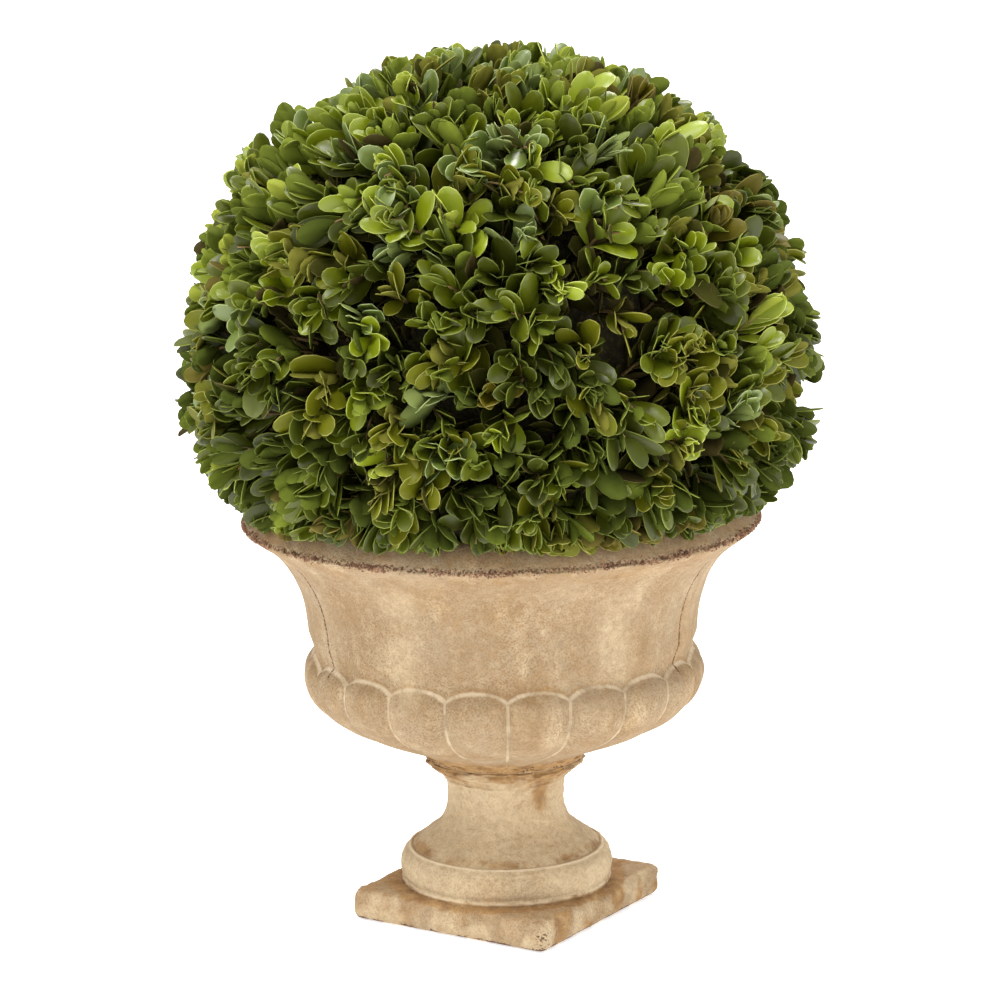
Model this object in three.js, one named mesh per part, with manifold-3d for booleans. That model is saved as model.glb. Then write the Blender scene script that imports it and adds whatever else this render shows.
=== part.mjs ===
// Box topiary ball in a pedestal urn.
// Millimetres, +Z up. The origin is the centre of the plinth's underside, and the plinth's
// sides run along X and Y.

import * as THREE from 'three';
import { mergeVertices } from 'three/addons/utils/BufferGeometryUtils.js';
import Module from 'manifold-3d';

const wasm = await Module();
wasm.setup();

// Gap between pieces that touch
const CLEARANCE = 0.3;

// Chords that stand in for each curved stretch of a turned outline
const CURVE_STEPS = 4;

// Square plinth under the pedestal, with rounded corners and worn edges
const PLINTH = { side: 97.8, height: 14.6, cornerRadius: 6, edgeRadius: 1.6 };

// Turned pedestal: a drum-like torus on the plinth, a cavetto, a neck and a collar.
// Each handle is a point that pulls a curve, given as radius and height above the ground.
const PEDESTAL = {
  height: 70,
  torusRadius: 45,
  torusShoulder: [46.2, 27.5],
  torusEdgeRadius: 42.4,
  torusTop: 29.4,
  cavettoHandle: [34.2, 37.1],
  neckHandleLow: 37.9,
  neckRadius: 25.3,
  neckHeight: 52,
  neckHandleHigh: 66.6,
  collarHandle: [31.2, 63],
  collarRadius: 34,
  collarHeight: 68,
  segments: 36,
};

// Turned bowl, with heights above its own foot
const BOWL = {
  footRadius: 34.3,
  footHandle: [41.8, 11.5],
  bellyHandle: 14.8,
  bellyRadius: 87.1,
  bellyHeight: 38.8,
  shoulderHandle: 50.7,
  waistHandleLow: 46.7,
  waistRadius: 83.5,
  waistHeight: 56.5,
  waistHandleHigh: 100.1,
  flareHandle: [115.8, 102.1],
  rimRadius: 111.5,
  rimHeight: 106.8,
  rimHandle: [111.6, 108.2],
  lipHandle: [104.5, 116.4],
  lipRadius: 100.5,
  lipHeight: 117,
};

// Hollow of the bowl, with heights above the bowl's foot
const HOLLOW = {
  floorRadius: 42,
  floorHeight: 15,
  floorHandle: [66, 15],
  wallHandleLow: 26,
  wallRadius: 76,
  wallHeight: 50,
  wallHandleHigh: 92,
  throatHandle: [94, 92],
  throatRadius: 95.5,
  throatHeight: 110,
  mouthRadius: 98.5,
};

// Gadroons round the bowl's belly: where one seam between them stands, and how far the
// seams lie below their crests. Four facets round each one catch its crest and its seams.
const LOBES = { count: 20, seamAngle: THREE.MathUtils.degToRad(15.5), depth: 2.2, facets: 4 };

// Soil in the bowl, with heights above the bowl's foot
const SOIL = { edgeHeight: 99, topHeight: 102, flatRadius: 24, segments: 32 };

// Short stem, with heights above the soil
const STEM = {
  height: 46,
  footRadius: 10.5,
  tipRadius: 6.5,
  lean: 0.09,
  leanAngle: THREE.MathUtils.degToRad(200),
  flare: 0.42,
  flareHeight: 7,
  rootCount: 5,
  segments: 15,
  rings: 6,
};

// Clipped crown, a rounded dome on a flatter underside. Its heart is the centre of its
// widest ring, and each power says how square its outline is.
const CROWN = {
  heartHeight: 228,
  radius: 135.5,
  rise: 149.5,
  drop: 49,
  upperPower: 2.45,
  lowerPower: 3.4,
};

// Dense inner part of the crown that the sprigs stand out of. It is flatter underneath, and
// its foot goes down into the urn's mouth, to a depth below the heart.
const CORE = {
  inset: 19,
  drop: 39.3,
  lowerPower: 5,
  footRadius: 91,
  footDepth: 52,
  segments: 24,
  rings: 14,
};

// Sprigs of leaves, spread by the golden angle from the top down to the lowest slope
const SPRIGS = {
  count: 96,
  crowding: 1.1,
  lowestSlope: -0.33,
  sunk: 9,
  length: 25,
  radius: 1.9,
  sides: 3,
  normalShare: 0.55,
  scatter: 0.3,
  seed: 1873,
};

// Leaves: their size and shape, how far along a sprig each opposite pair and the end leaf
// stand, how far they spread from it, and how far past the outline the longest tips reach.
// The broadest, the blunt end and the keel are shares of the length, and the end's width is
// a share of the leaf's.
const LEAVES = {
  length: 32,
  width: 19,
  thickness: 1.1,
  broadest: 0.56,
  blunt: 0.94,
  bluntWidth: 0.5,
  keel: 0.42,
  lift: 0.6,
  droop: 1.3,
  pairs: [11.5, 16.5],
  endLeaf: 18.5,
  endSize: 0.62,
  spread: THREE.MathUtils.degToRad(58),
  spreadScatter: THREE.MathUtils.degToRad(12),
  rollScatter: THREE.MathUtils.degToRad(24),
  lengthScatter: 0.12,
  overshoot: 4.5,
  smallest: 0.6,
  trimStep: 0.1,
  lipGap: 0.9,
};

// Level of the bowl's foot, and of the stem's flat cut on the soil
const BOWL_FOOT = PEDESTAL.height + CLEARANCE / 2;
const STEM_FOOT = BOWL_FOOT + SOIL.topHeight + CLEARANCE;

const GOLDEN_ANGLE = Math.PI * (3 - Math.sqrt(5));
const UP = new THREE.Vector3(0, 0, 1);

const FINISH = {
  urn: { color: 0xcfb48c, roughness: 0.92, metalness: 0 },
  soil: { color: 0x3a2b20, roughness: 1, metalness: 0 },
  bark: { color: 0x75654d, roughness: 0.95, metalness: 0 },
  leaf: { color: 0x4f6a22, roughness: 0.6, metalness: 0 },
};

// Closed geometry to solid, with its shared corners merged and its empty faces dropped
function solidOf(geometry) {
  const bare = geometry.index ? geometry.clone() : geometry;
  bare.deleteAttribute('normal');
  bare.deleteAttribute('uv');
  const merged = mergeVertices(bare, 1e-4);
  const corners = merged.index.array;
  const faces = [];
  for (let i = 0; i < corners.length; i += 3) {
    const [a, b, c] = [corners[i], corners[i + 1], corners[i + 2]];
    if (a !== b && b !== c && c !== a) faces.push(a, b, c);
  }
  return new wasm.Manifold(new wasm.Mesh({
    numProp: 3,
    vertProperties: new Float32Array(merged.attributes.position.array),
    triVerts: new Uint32Array(faces),
  }));
}

// Solid to a mesh with flat faces
function meshOf(solid, name, finish) {
  const { vertProperties, triVerts } = solid.getMesh();
  const indexed = new THREE.BufferGeometry();
  indexed.setAttribute('position', new THREE.BufferAttribute(vertProperties, 3));
  indexed.setIndex(new THREE.BufferAttribute(triVerts, 1));
  const geometry = indexed.toNonIndexed();
  geometry.computeVertexNormals();
  const mesh = new THREE.Mesh(geometry, new THREE.MeshStandardMaterial(finish));
  mesh.name = name;
  return mesh;
}

// Turned shape about Z, from an outline of radius and height that starts and ends on the axis
function turned(outline, segments, startAngle = 0) {
  const geometry = new THREE.LatheGeometry(outline, segments, startAngle + Math.PI / 2);
  return geometry.rotateX(Math.PI / 2);
}

// Moves every point of a geometry by a rule
function reshape(geometry, rule) {
  const positions = geometry.attributes.position;
  const point = new THREE.Vector3();
  for (let i = 0; i < positions.count; i += 1) {
    rule(point.fromBufferAttribute(positions, i));
    positions.setXYZ(i, point.x, point.y, point.z);
  }
  return geometry;
}

// Seeded random numbers from 0 to 1
function seededRandom(seed) {
  let state = seed;
  return () => {
    state = (state * 1664525 + 1013904223) % 4294967296;
    return state / 4294967296;
  };
}

function plinthSolid() {
  const { side, height, cornerRadius, edgeRadius } = PLINTH;
  const half = side / 2;
  const inner = half - cornerRadius;
  const shape = new THREE.Shape();
  shape.moveTo(-inner, -half);
  shape.absarc(inner, -inner, cornerRadius, -Math.PI / 2, 0);
  shape.absarc(inner, inner, cornerRadius, 0, Math.PI / 2);
  shape.absarc(-inner, inner, cornerRadius, Math.PI / 2, Math.PI);
  shape.absarc(-inner, -inner, cornerRadius, Math.PI, 1.5 * Math.PI);
  const geometry = new THREE.ExtrudeGeometry(shape, {
    depth: height - 2 * edgeRadius,
    curveSegments: 4,
    bevelThickness: edgeRadius,
    bevelSize: edgeRadius,
    bevelOffset: -edgeRadius,
    bevelSegments: 2,
  });
  return solidOf(geometry.translate(0, 0, edgeRadius));
}

function pedestalSolid() {
  const p = PEDESTAL;
  const top = p.height - CLEARANCE / 2;
  const sunk = PLINTH.height / 2;
  const outline = new THREE.Path();
  outline.moveTo(0, sunk);
  outline.lineTo(p.torusRadius, sunk);
  outline.lineTo(p.torusRadius, PLINTH.height);
  outline.quadraticCurveTo(...p.torusShoulder, p.torusEdgeRadius, p.torusTop);
  outline.bezierCurveTo(...p.cavettoHandle, p.neckRadius, p.neckHandleLow, p.neckRadius, p.neckHeight);
  outline.bezierCurveTo(p.neckRadius, p.neckHandleHigh, ...p.collarHandle, p.collarRadius, p.collarHeight);
  outline.lineTo(p.collarRadius, top);
  outline.lineTo(0, top);
  return plinthSolid().add(solidOf(turned(outline.getPoints(CURVE_STEPS), p.segments)));
}

// Pulls the seams between the gadroons in, most at the belly and not at all at foot and waist
function carveLobes(point) {
  const share = point.z / BOWL.waistHeight;
  if (share <= 0 || share >= 1) return;
  const around = Math.atan2(point.y, point.x) - LOBES.seamAngle;
  const crest = Math.abs(Math.sin((LOBES.count / 2) * around));
  const depth = LOBES.depth * Math.sqrt(Math.sin(Math.PI * share)) * (1 - crest);
  const radius = Math.hypot(point.x, point.y);
  const scale = radius > depth ? (radius - depth) / radius : 1;
  point.x *= scale;
  point.y *= scale;
}

function bowlBlank() {
  const b = BOWL;
  const outline = new THREE.Path();
  outline.moveTo(0, 0);
  outline.lineTo(b.footRadius, 0);
  outline.bezierCurveTo(...b.footHandle, b.bellyRadius, b.bellyHandle, b.bellyRadius, b.bellyHeight);
  outline.bezierCurveTo(
    b.bellyRadius, b.shoulderHandle, b.waistRadius, b.waistHandleLow, b.waistRadius, b.waistHeight,
  );
  outline.bezierCurveTo(b.waistRadius, b.waistHandleHigh, ...b.flareHandle, b.rimRadius, b.rimHeight);
  outline.bezierCurveTo(...b.rimHandle, ...b.lipHandle, b.lipRadius, b.lipHeight);
  outline.lineTo(0, b.lipHeight);
  const geometry = turned(outline.getPoints(CURVE_STEPS), LOBES.count * LOBES.facets, LOBES.seamAngle);
  return solidOf(reshape(geometry, carveLobes));
}

// Outline of the bowl's hollow, drawn in by a gap for what fills it
function hollowOutline(gap) {
  const h = HOLLOW;
  const outline = new THREE.Path();
  outline.moveTo(0, h.floorHeight + gap);
  outline.lineTo(h.floorRadius, h.floorHeight + gap);
  outline.bezierCurveTo(
    h.floorHandle[0], h.floorHandle[1] + gap, h.wallRadius - gap, h.wallHandleLow,
    h.wallRadius - gap, h.wallHeight,
  );
  outline.bezierCurveTo(
    h.wallRadius - gap, h.wallHandleHigh, h.throatHandle[0] - gap, h.throatHandle[1],
    h.throatRadius - gap, h.throatHeight,
  );
  return outline;
}

function bowlSolid() {
  const above = BOWL.lipHeight + 1;
  const outline = hollowOutline(0);
  outline.lineTo(HOLLOW.mouthRadius, BOWL.lipHeight);
  outline.lineTo(HOLLOW.mouthRadius, above);
  outline.lineTo(0, above);
  return bowlBlank().subtract(solidOf(turned(outline.getPoints(CURVE_STEPS), SOIL.segments)));
}

function soilSolid() {
  const filling = hollowOutline(CLEARANCE * 1.5);
  const above = BOWL.lipHeight;
  filling.lineTo(0, HOLLOW.throatHeight);
  const surface = new THREE.Path();
  surface.moveTo(0, SOIL.topHeight);
  surface.lineTo(SOIL.flatRadius, SOIL.topHeight);
  surface.lineTo(HOLLOW.mouthRadius, SOIL.edgeHeight);
  surface.lineTo(HOLLOW.mouthRadius, above);
  surface.lineTo(0, above);
  return solidOf(turned(filling.getPoints(CURVE_STEPS), SOIL.segments))
    .subtract(solidOf(turned(surface.getPoints(), SOIL.segments)));
}

// Stem, or with a gap the pocket that it stands in
function stemSolid(gap) {
  const { height, footRadius, tipRadius, rings } = STEM;
  const outline = new THREE.Path();
  outline.moveTo(0, 0);
  for (let i = 0; i <= rings; i += 1) {
    const share = i / rings;
    outline.lineTo(footRadius + (tipRadius - footRadius) * share + gap, (height + gap) * share);
  }
  outline.lineTo(0, height + gap);
  const lean = new THREE.Vector2(Math.cos(STEM.leanAngle), Math.sin(STEM.leanAngle));
  return solidOf(reshape(turned(outline.getPoints(), STEM.segments), (point) => {
    const around = Math.atan2(point.y, point.x);
    const roots = 0.6 + 0.4 * Math.cos(STEM.rootCount * around);
    const flare = 1 + STEM.flare * roots * Math.exp(-point.z / STEM.flareHeight);
    point.x = point.x * flare + lean.x * STEM.lean * point.z;
    point.y = point.y * flare + lean.y * STEM.lean * point.z;
  }));
}

// Share of the way from the crown's heart to its outline, 1 on the outline itself. The
// outline is first drawn in by an inset, or by a negative one let out.
function crownShare(point, inset = 0) {
  const low = point.z < 0;
  const power = low ? CROWN.lowerPower : CROWN.upperPower;
  const across = Math.hypot(point.x, point.y) / (CROWN.radius - inset);
  const along = Math.abs(point.z) / ((low ? CROWN.drop : CROWN.rise) - inset);
  return (across ** power + along ** power) ** (1 / power);
}

// The same for the core
function coreShare(point) {
  if (point.z >= 0) return crownShare(point, CORE.inset);
  const across = Math.hypot(point.x, point.y) / (CROWN.radius - CORE.inset);
  return (across ** CORE.lowerPower + (-point.z / CORE.drop) ** CORE.lowerPower) ** (1 / CORE.lowerPower);
}

// Outward normal of the crown's outline in a direction from the heart
function crownNormal(direction) {
  const step = 0.01;
  const slope = (axis) => {
    const moved = direction.clone().setComponent(axis, direction.getComponent(axis) + step);
    return crownShare(moved) - crownShare(direction);
  };
  return new THREE.Vector3(slope(0), slope(1), slope(2)).normalize();
}

function coreSolid() {
  const outline = [];
  for (let i = 0; i <= CORE.rings; i += 1) {
    const slope = Math.PI * (i / CORE.rings - 0.5);
    const edge = new THREE.Vector3(Math.cos(slope), 0, Math.sin(slope));
    edge.divideScalar(coreShare(edge));
    outline.push(new THREE.Vector2(i % CORE.rings ? edge.x : 0, edge.z));
  }
  const foot = new THREE.Path();
  foot.moveTo(0, -CORE.footDepth);
  foot.lineTo(CORE.footRadius, -CORE.footDepth);
  foot.lineTo(CORE.footRadius, -CORE.drop / 2);
  foot.lineTo(0, -CORE.drop / 2);
  return solidOf(turned(outline, CORE.segments)).add(solidOf(turned(foot.getPoints(), CORE.segments)));
}

// The urn's lip and all below it, in the crown's own frame, grown by the gap leaves keep to it
function urnSpace() {
  const gap = LEAVES.lipGap;
  const base = BOWL_FOOT - CROWN.heartHeight;
  const edge = BOWL.rimRadius + gap;
  const outline = new THREE.Path();
  outline.moveTo(0, base);
  outline.lineTo(edge, base);
  outline.lineTo(edge, base + BOWL.rimHeight + gap);
  outline.lineTo(BOWL.lipHandle[0] + 2 * gap, base + BOWL.lipHeight + gap);
  outline.lineTo(0, base + BOWL.lipHeight + gap);
  return solidOf(turned(outline.getPoints(), CORE.segments));
}

// Leaf along +X with its upper side to +Z: an obovate blade, arched over, with a keel beneath
function leafGeometry(length, width) {
  const half = width / 2;
  const endHalf = half * LEAVES.bluntWidth;
  const broadest = length * LEAVES.broadest;
  const blunt = length * LEAVES.blunt;
  const corners = [
    0, 0, 0,
    broadest, half, LEAVES.lift,
    blunt, endHalf, -LEAVES.droop,
    blunt, -endHalf, -LEAVES.droop,
    broadest, -half, LEAVES.lift,
    length * LEAVES.keel, 0, -LEAVES.thickness,
  ];
  const geometry = new THREE.BufferGeometry();
  geometry.setAttribute('position', new THREE.Float32BufferAttribute(corners, 3));
  geometry.setIndex([0, 4, 1, 4, 3, 2, 4, 2, 1, 5, 0, 1, 5, 1, 2, 5, 2, 3, 5, 3, 4, 5, 4, 0]);
  return geometry;
}

// Leaf placed at a point of its sprig, shortened until it keeps to the crown, or null
function placedLeaf(root, along, upper, size, keepOut) {
  const side = new THREE.Vector3().crossVectors(upper, along).normalize();
  const facing = new THREE.Vector3().crossVectors(along, side);
  const place = new THREE.Matrix4().makeBasis(along, side, facing).setPosition(root);
  for (let trim = 1; trim >= LEAVES.smallest; trim -= LEAVES.trimStep) {
    const length = LEAVES.length * size * trim;
    const geometry = leafGeometry(length, LEAVES.width * Math.sqrt(size * trim));
    geometry.applyMatrix4(place);
    if (insideOutline(geometry)) {
      const leaf = solidOf(geometry);
      if (leaf.intersect(keepOut).isEmpty()) return leaf;
    }
  }
  return null;
}

// True where no corner of a leaf stands further out than tips may
function insideOutline(geometry) {
  const positions = geometry.attributes.position;
  const point = new THREE.Vector3();
  for (let i = 0; i < positions.count; i += 1) {
    point.fromBufferAttribute(positions, i);
    if (crownShare(point, -LEAVES.overshoot) > 1) return false;
  }
  return true;
}

// Sprigs, each a three-sided twig with opposite pairs of leaves and one at its end
function sprigSolids() {
  const random = seededRandom(SPRIGS.seed);
  const scatter = (size) => (random() * 2 - 1) * size;
  const keepOut = urnSpace();
  const solids = [];
  for (let i = 0; i < SPRIGS.count; i += 1) {
    const share = ((i + 0.5) / SPRIGS.count) ** SPRIGS.crowding;
    const slope = 1 - share * (1 - SPRIGS.lowestSlope);
    const level = Math.sqrt(1 - slope * slope);
    const turn = i * GOLDEN_ANGLE;
    const radial = new THREE.Vector3(level * Math.cos(turn), level * Math.sin(turn), slope);
    const along = radial.clone().lerp(crownNormal(radial), SPRIGS.normalShare);
    along.x += scatter(SPRIGS.scatter);
    along.y += scatter(SPRIGS.scatter);
    along.z += scatter(SPRIGS.scatter);
    along.normalize();
    const root = radial.clone().multiplyScalar(1 / coreShare(radial) - SPRIGS.sunk);
    const firstTurn = random() * Math.PI;
    const sideways = new THREE.Vector3().crossVectors(along, UP).normalize();

    const leaves = [];
    const addLeaf = (station, turnAbout, spread, size) => {
      const base = root.clone().addScaledVector(along, station);
      const side = sideways.clone().applyAxisAngle(along, turnAbout);
      const out = along.clone().multiplyScalar(Math.cos(spread)).addScaledVector(side, Math.sin(spread));
      const upper = along.clone().multiplyScalar(Math.sin(spread)).addScaledVector(side, -Math.cos(spread));
      upper.applyAxisAngle(out, scatter(LEAVES.rollScatter));
      const leaf = placedLeaf(base, out, upper, size * (1 + scatter(LEAVES.lengthScatter)), keepOut);
      if (leaf) leaves.push(leaf);
    };
    LEAVES.pairs.forEach((station, pair) => {
      for (const half of [0, Math.PI]) {
        const spread = LEAVES.spread + scatter(LEAVES.spreadScatter);
        addLeaf(station, firstTurn + pair * (Math.PI / 2) + half, spread, 1);
      }
    });
    addLeaf(LEAVES.endLeaf, firstTurn, LEAVES.spreadScatter * random(), LEAVES.endSize);
    if (leaves.length === 0) continue;

    const twig = new THREE.ConeGeometry(SPRIGS.radius, SPRIGS.length, SPRIGS.sides);
    twig.rotateX(Math.PI / 2).translate(0, 0, SPRIGS.length / 2);
    twig.applyQuaternion(new THREE.Quaternion().setFromUnitVectors(UP, along));
    twig.translate(root.x, root.y, root.z);
    solids.push(solidOf(twig), ...leaves);
  }
  return solids;
}

// The crown: core and sprigs in one, with a pocket for the stem's tip
function foliageSolid() {
  const crown = wasm.Manifold.union([coreSolid(), ...sprigSolids()]);
  const pocket = stemSolid(CLEARANCE).translate(0, 0, STEM_FOOT - CROWN.heartHeight);
  return crown.subtract(pocket);
}

const pedestal = meshOf(pedestalSolid(), 'urn_pedestal', FINISH.urn);
const bowl = meshOf(bowlSolid(), 'urn_bowl', FINISH.urn);
bowl.position.z = BOWL_FOOT;
const soil = meshOf(soilSolid(), 'soil', FINISH.soil);
soil.position.z = BOWL_FOOT;

const stem = meshOf(stemSolid(0), 'stem', FINISH.bark);
stem.position.z = STEM_FOOT;
const foliage = meshOf(foliageSolid(), 'foliage_ball', FINISH.leaf);
foliage.position.z = CROWN.heartHeight;

const urn = new THREE.Group();
urn.add(pedestal, bowl, soil);
const plant = new THREE.Group();
plant.add(stem, foliage);
const topiary = new THREE.Group();
topiary.add(urn, plant);

export default topiary;
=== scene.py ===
"""Clipped ball of box in an aged pedestal urn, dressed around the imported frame."""

import logging
import math
from collections.abc import Callable
from dataclasses import dataclass, field
from enum import Enum

import bpy
import numpy as np
from mathutils import Matrix, Vector


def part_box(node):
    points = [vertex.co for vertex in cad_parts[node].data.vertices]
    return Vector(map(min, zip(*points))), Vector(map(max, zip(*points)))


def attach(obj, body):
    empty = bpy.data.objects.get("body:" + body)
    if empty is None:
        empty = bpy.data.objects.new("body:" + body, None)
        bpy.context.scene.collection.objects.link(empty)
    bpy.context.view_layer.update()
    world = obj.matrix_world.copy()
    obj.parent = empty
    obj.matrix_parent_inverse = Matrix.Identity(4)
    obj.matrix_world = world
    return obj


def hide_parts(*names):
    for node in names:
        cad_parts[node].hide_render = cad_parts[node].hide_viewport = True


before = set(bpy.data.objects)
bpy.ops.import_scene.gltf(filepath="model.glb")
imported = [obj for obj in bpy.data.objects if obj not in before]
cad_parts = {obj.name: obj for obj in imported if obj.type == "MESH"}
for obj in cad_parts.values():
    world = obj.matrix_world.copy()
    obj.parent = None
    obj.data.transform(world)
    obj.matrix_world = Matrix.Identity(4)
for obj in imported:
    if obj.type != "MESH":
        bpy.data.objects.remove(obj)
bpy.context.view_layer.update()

LOG = logging.getLogger("topiary")

# Sizes are in millimetres up to the point where a mesh is made
MM = 0.001
TURN = 2 * math.pi
GOLDEN_ANGLE = math.pi * (3 - math.sqrt(5))

# Any fixed directions, which the sideways ones of boughs and twigs are worked out from
BOUGH_HELPER = (0.3, 0.2, 0.93)
TWIG_HELPER = (0.2, 0.3, 0.93)

Point = tuple[float, float]
Pair = tuple[float, float]
Colour = tuple[float, float, float]


def screen_colour(red: int, green: int, blue: int) -> Colour:
    """Turns a colour as a screen shows it into the light values that a shader takes.

    Args:
        red: Red from 0 to 255.
        green: Green from 0 to 255.
        blue: Blue from 0 to 255.

    Returns:
        The three light values from 0 to 1.
    """

    def light(level: int) -> float:
        """Gives the light value of one channel."""
        share = level / 255
        return share / 12.92 if share <= 0.04045 else ((share + 0.055) / 1.055) ** 2.4

    return light(red), light(green), light(blue)


class Value:
    """A number, colour or vector that a shader node gives, with sums written as Python."""

    def __init__(self, graph: "Graph", socket: bpy.types.NodeSocket) -> None:
        """Keeps the socket and the graph that new nodes go into.

        Args:
            graph: The material's graph.
            socket: The output that carries the value.
        """
        self.graph = graph
        self.socket = socket

    def __add__(self, other: "Value | float") -> "Value":
        """Adds."""
        return self.graph.math("ADD", self, other)

    def __radd__(self, other: float) -> "Value":
        """Adds to a plain number."""
        return self.graph.math("ADD", other, self)

    def __sub__(self, other: "Value | float") -> "Value":
        """Takes away."""
        return self.graph.math("SUBTRACT", self, other)

    def __rsub__(self, other: float) -> "Value":
        """Takes away from a plain number."""
        return self.graph.math("SUBTRACT", other, self)

    def __mul__(self, other: "Value | float") -> "Value":
        """Multiplies."""
        return self.graph.math("MULTIPLY", self, other)

    def __rmul__(self, other: float) -> "Value":
        """Multiplies a plain number."""
        return self.graph.math("MULTIPLY", other, self)

    def rising(self, low: float, high: float) -> "Value":
        """Gives 0 up to one level, 1 from another, and a straight rise between them.

        Args:
            low: The level where the rise starts.
            high: The level where it ends.

        Returns:
            The share from 0 to 1.
        """
        slope = 1 / (high - low)
        return self.graph.math("MULTIPLY_ADD", self, slope, -low * slope, clamp=True)


class Graph:
    """Node graph of one material, whose nodes are added by what they do."""

    def __init__(self, name: str) -> None:
        """Makes the material with an empty graph.

        Args:
            name: Name of the material.
        """
        self.material = bpy.data.materials.new(name)
        self.material.use_nodes = True
        self.tree = self.material.node_tree
        self.tree.nodes.clear()

    def add(self, kind: str, settings: dict, sockets: dict, output: int | str = 0) -> Value:
        """Adds a node.

        Args:
            kind: Type of the node.
            settings: The node's own settings, set before its sockets.
            sockets: Values or links of its input sockets, by name or number.
            output: The output that the result carries.

        Returns:
            The node's output.
        """
        node = self.tree.nodes.new(kind)
        for name, setting in settings.items():
            setattr(node, name, setting)
        for name, value in sockets.items():
            if isinstance(value, Value):
                self.tree.links.new(value.socket, node.inputs[name])
            else:
                node.inputs[name].default_value = value
        return Value(self, node.outputs[output])

    def math(
        self, operation: str, first: Value | float, second: Value | float,
        third: Value | float = 0.0, clamp: bool = False,
    ) -> Value:
        """Adds a Math node.

        Args:
            operation: What the node works out.
            first: Its first value.
            second: Its second value.
            third: Its third value, where the operation has one.
            clamp: Whether the result is kept from 0 to 1.

        Returns:
            The result.
        """
        settings = {"operation": operation, "use_clamp": clamp}
        return self.add("ShaderNodeMath", settings, {0: first, 1: second, 2: third})

    def place(self) -> Value:
        """Gives the place on the object, in metres."""
        return self.add("ShaderNodeTexCoord", {}, {}, "Object")

    def mark(self, name: str) -> Value:
        """Gives a number that the mesh holds at each of its points.

        Args:
            name: Name of the mesh's attribute.

        Returns:
            The number.
        """
        return self.add("ShaderNodeAttribute", {"attribute_name": name}, {}, "Fac")

    def noise(self, place: Value, size: float, detail: float = 2.0, height: float = 0.0) -> Value:
        """Adds a cloudy pattern.

        Args:
            place: The place on the object.
            size: Width of its patches in millimetres.
            detail: How many finer patterns are laid over it.
            height: Height of its patches in millimetres where they are drawn out, or 0.

        Returns:
            The pattern, mostly between 0.3 and 0.7.
        """
        across = 1 / (size * MM)
        along = 1 / ((height or size) * MM)
        shrunk = self.add(
            "ShaderNodeMapping", {}, {"Vector": place, "Scale": (across, across, along)}
        )
        return self.add(
            "ShaderNodeTexNoise", {}, {"Vector": shrunk, "Scale": 1.0, "Detail": detail}, "Fac"
        )

    def blend(self, mask: Value | float, under: Value | Colour, over: Value | Colour) -> Value:
        """Lays one colour over another.

        Args:
            mask: How much of the upper colour shows.
            under: The lower colour.
            over: The upper colour.

        Returns:
            The blended colour.
        """
        under = under if isinstance(under, Value) else (*under, 1.0)
        over = over if isinstance(over, Value) else (*over, 1.0)
        settings = {"data_type": "RGBA", "blend_type": "MIX"}
        return self.add("ShaderNodeMix", settings, {0: mask, 6: under, 7: over}, 2)

    def finish(
        self, colour: Value | Colour, roughness: Value | float, relief: Value, depth: float,
        **constants: float | tuple[float, ...],
    ) -> bpy.types.Material:
        """Adds the surface itself and gives the finished material.

        Args:
            colour: Its colour.
            roughness: Its roughness.
            relief: Height of its fine relief, from 0 to 1.
            depth: How deep the relief is, in millimetres.
            **constants: Settings of the surface that are the same all over it.

        Returns:
            The material.
        """
        colour = colour if isinstance(colour, Value) else (*colour, 1.0)
        bump = self.add(
            "ShaderNodeBump", {}, {"Height": relief, "Strength": 1.0, "Distance": depth * MM}
        )
        sockets = {"Base Color": colour, "Roughness": roughness, "Normal": bump}
        sockets.update({name.replace("_", " "): value for name, value in constants.items()})
        surface = self.add("ShaderNodeBsdfPrincipled", {}, sockets)
        self.add_output(surface)
        return self.material

    def add_output(self, surface: Value) -> None:
        """Links a surface to the material's output."""
        node = self.tree.nodes.new("ShaderNodeOutputMaterial")
        self.tree.links.new(surface.socket, node.inputs["Surface"])


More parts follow.
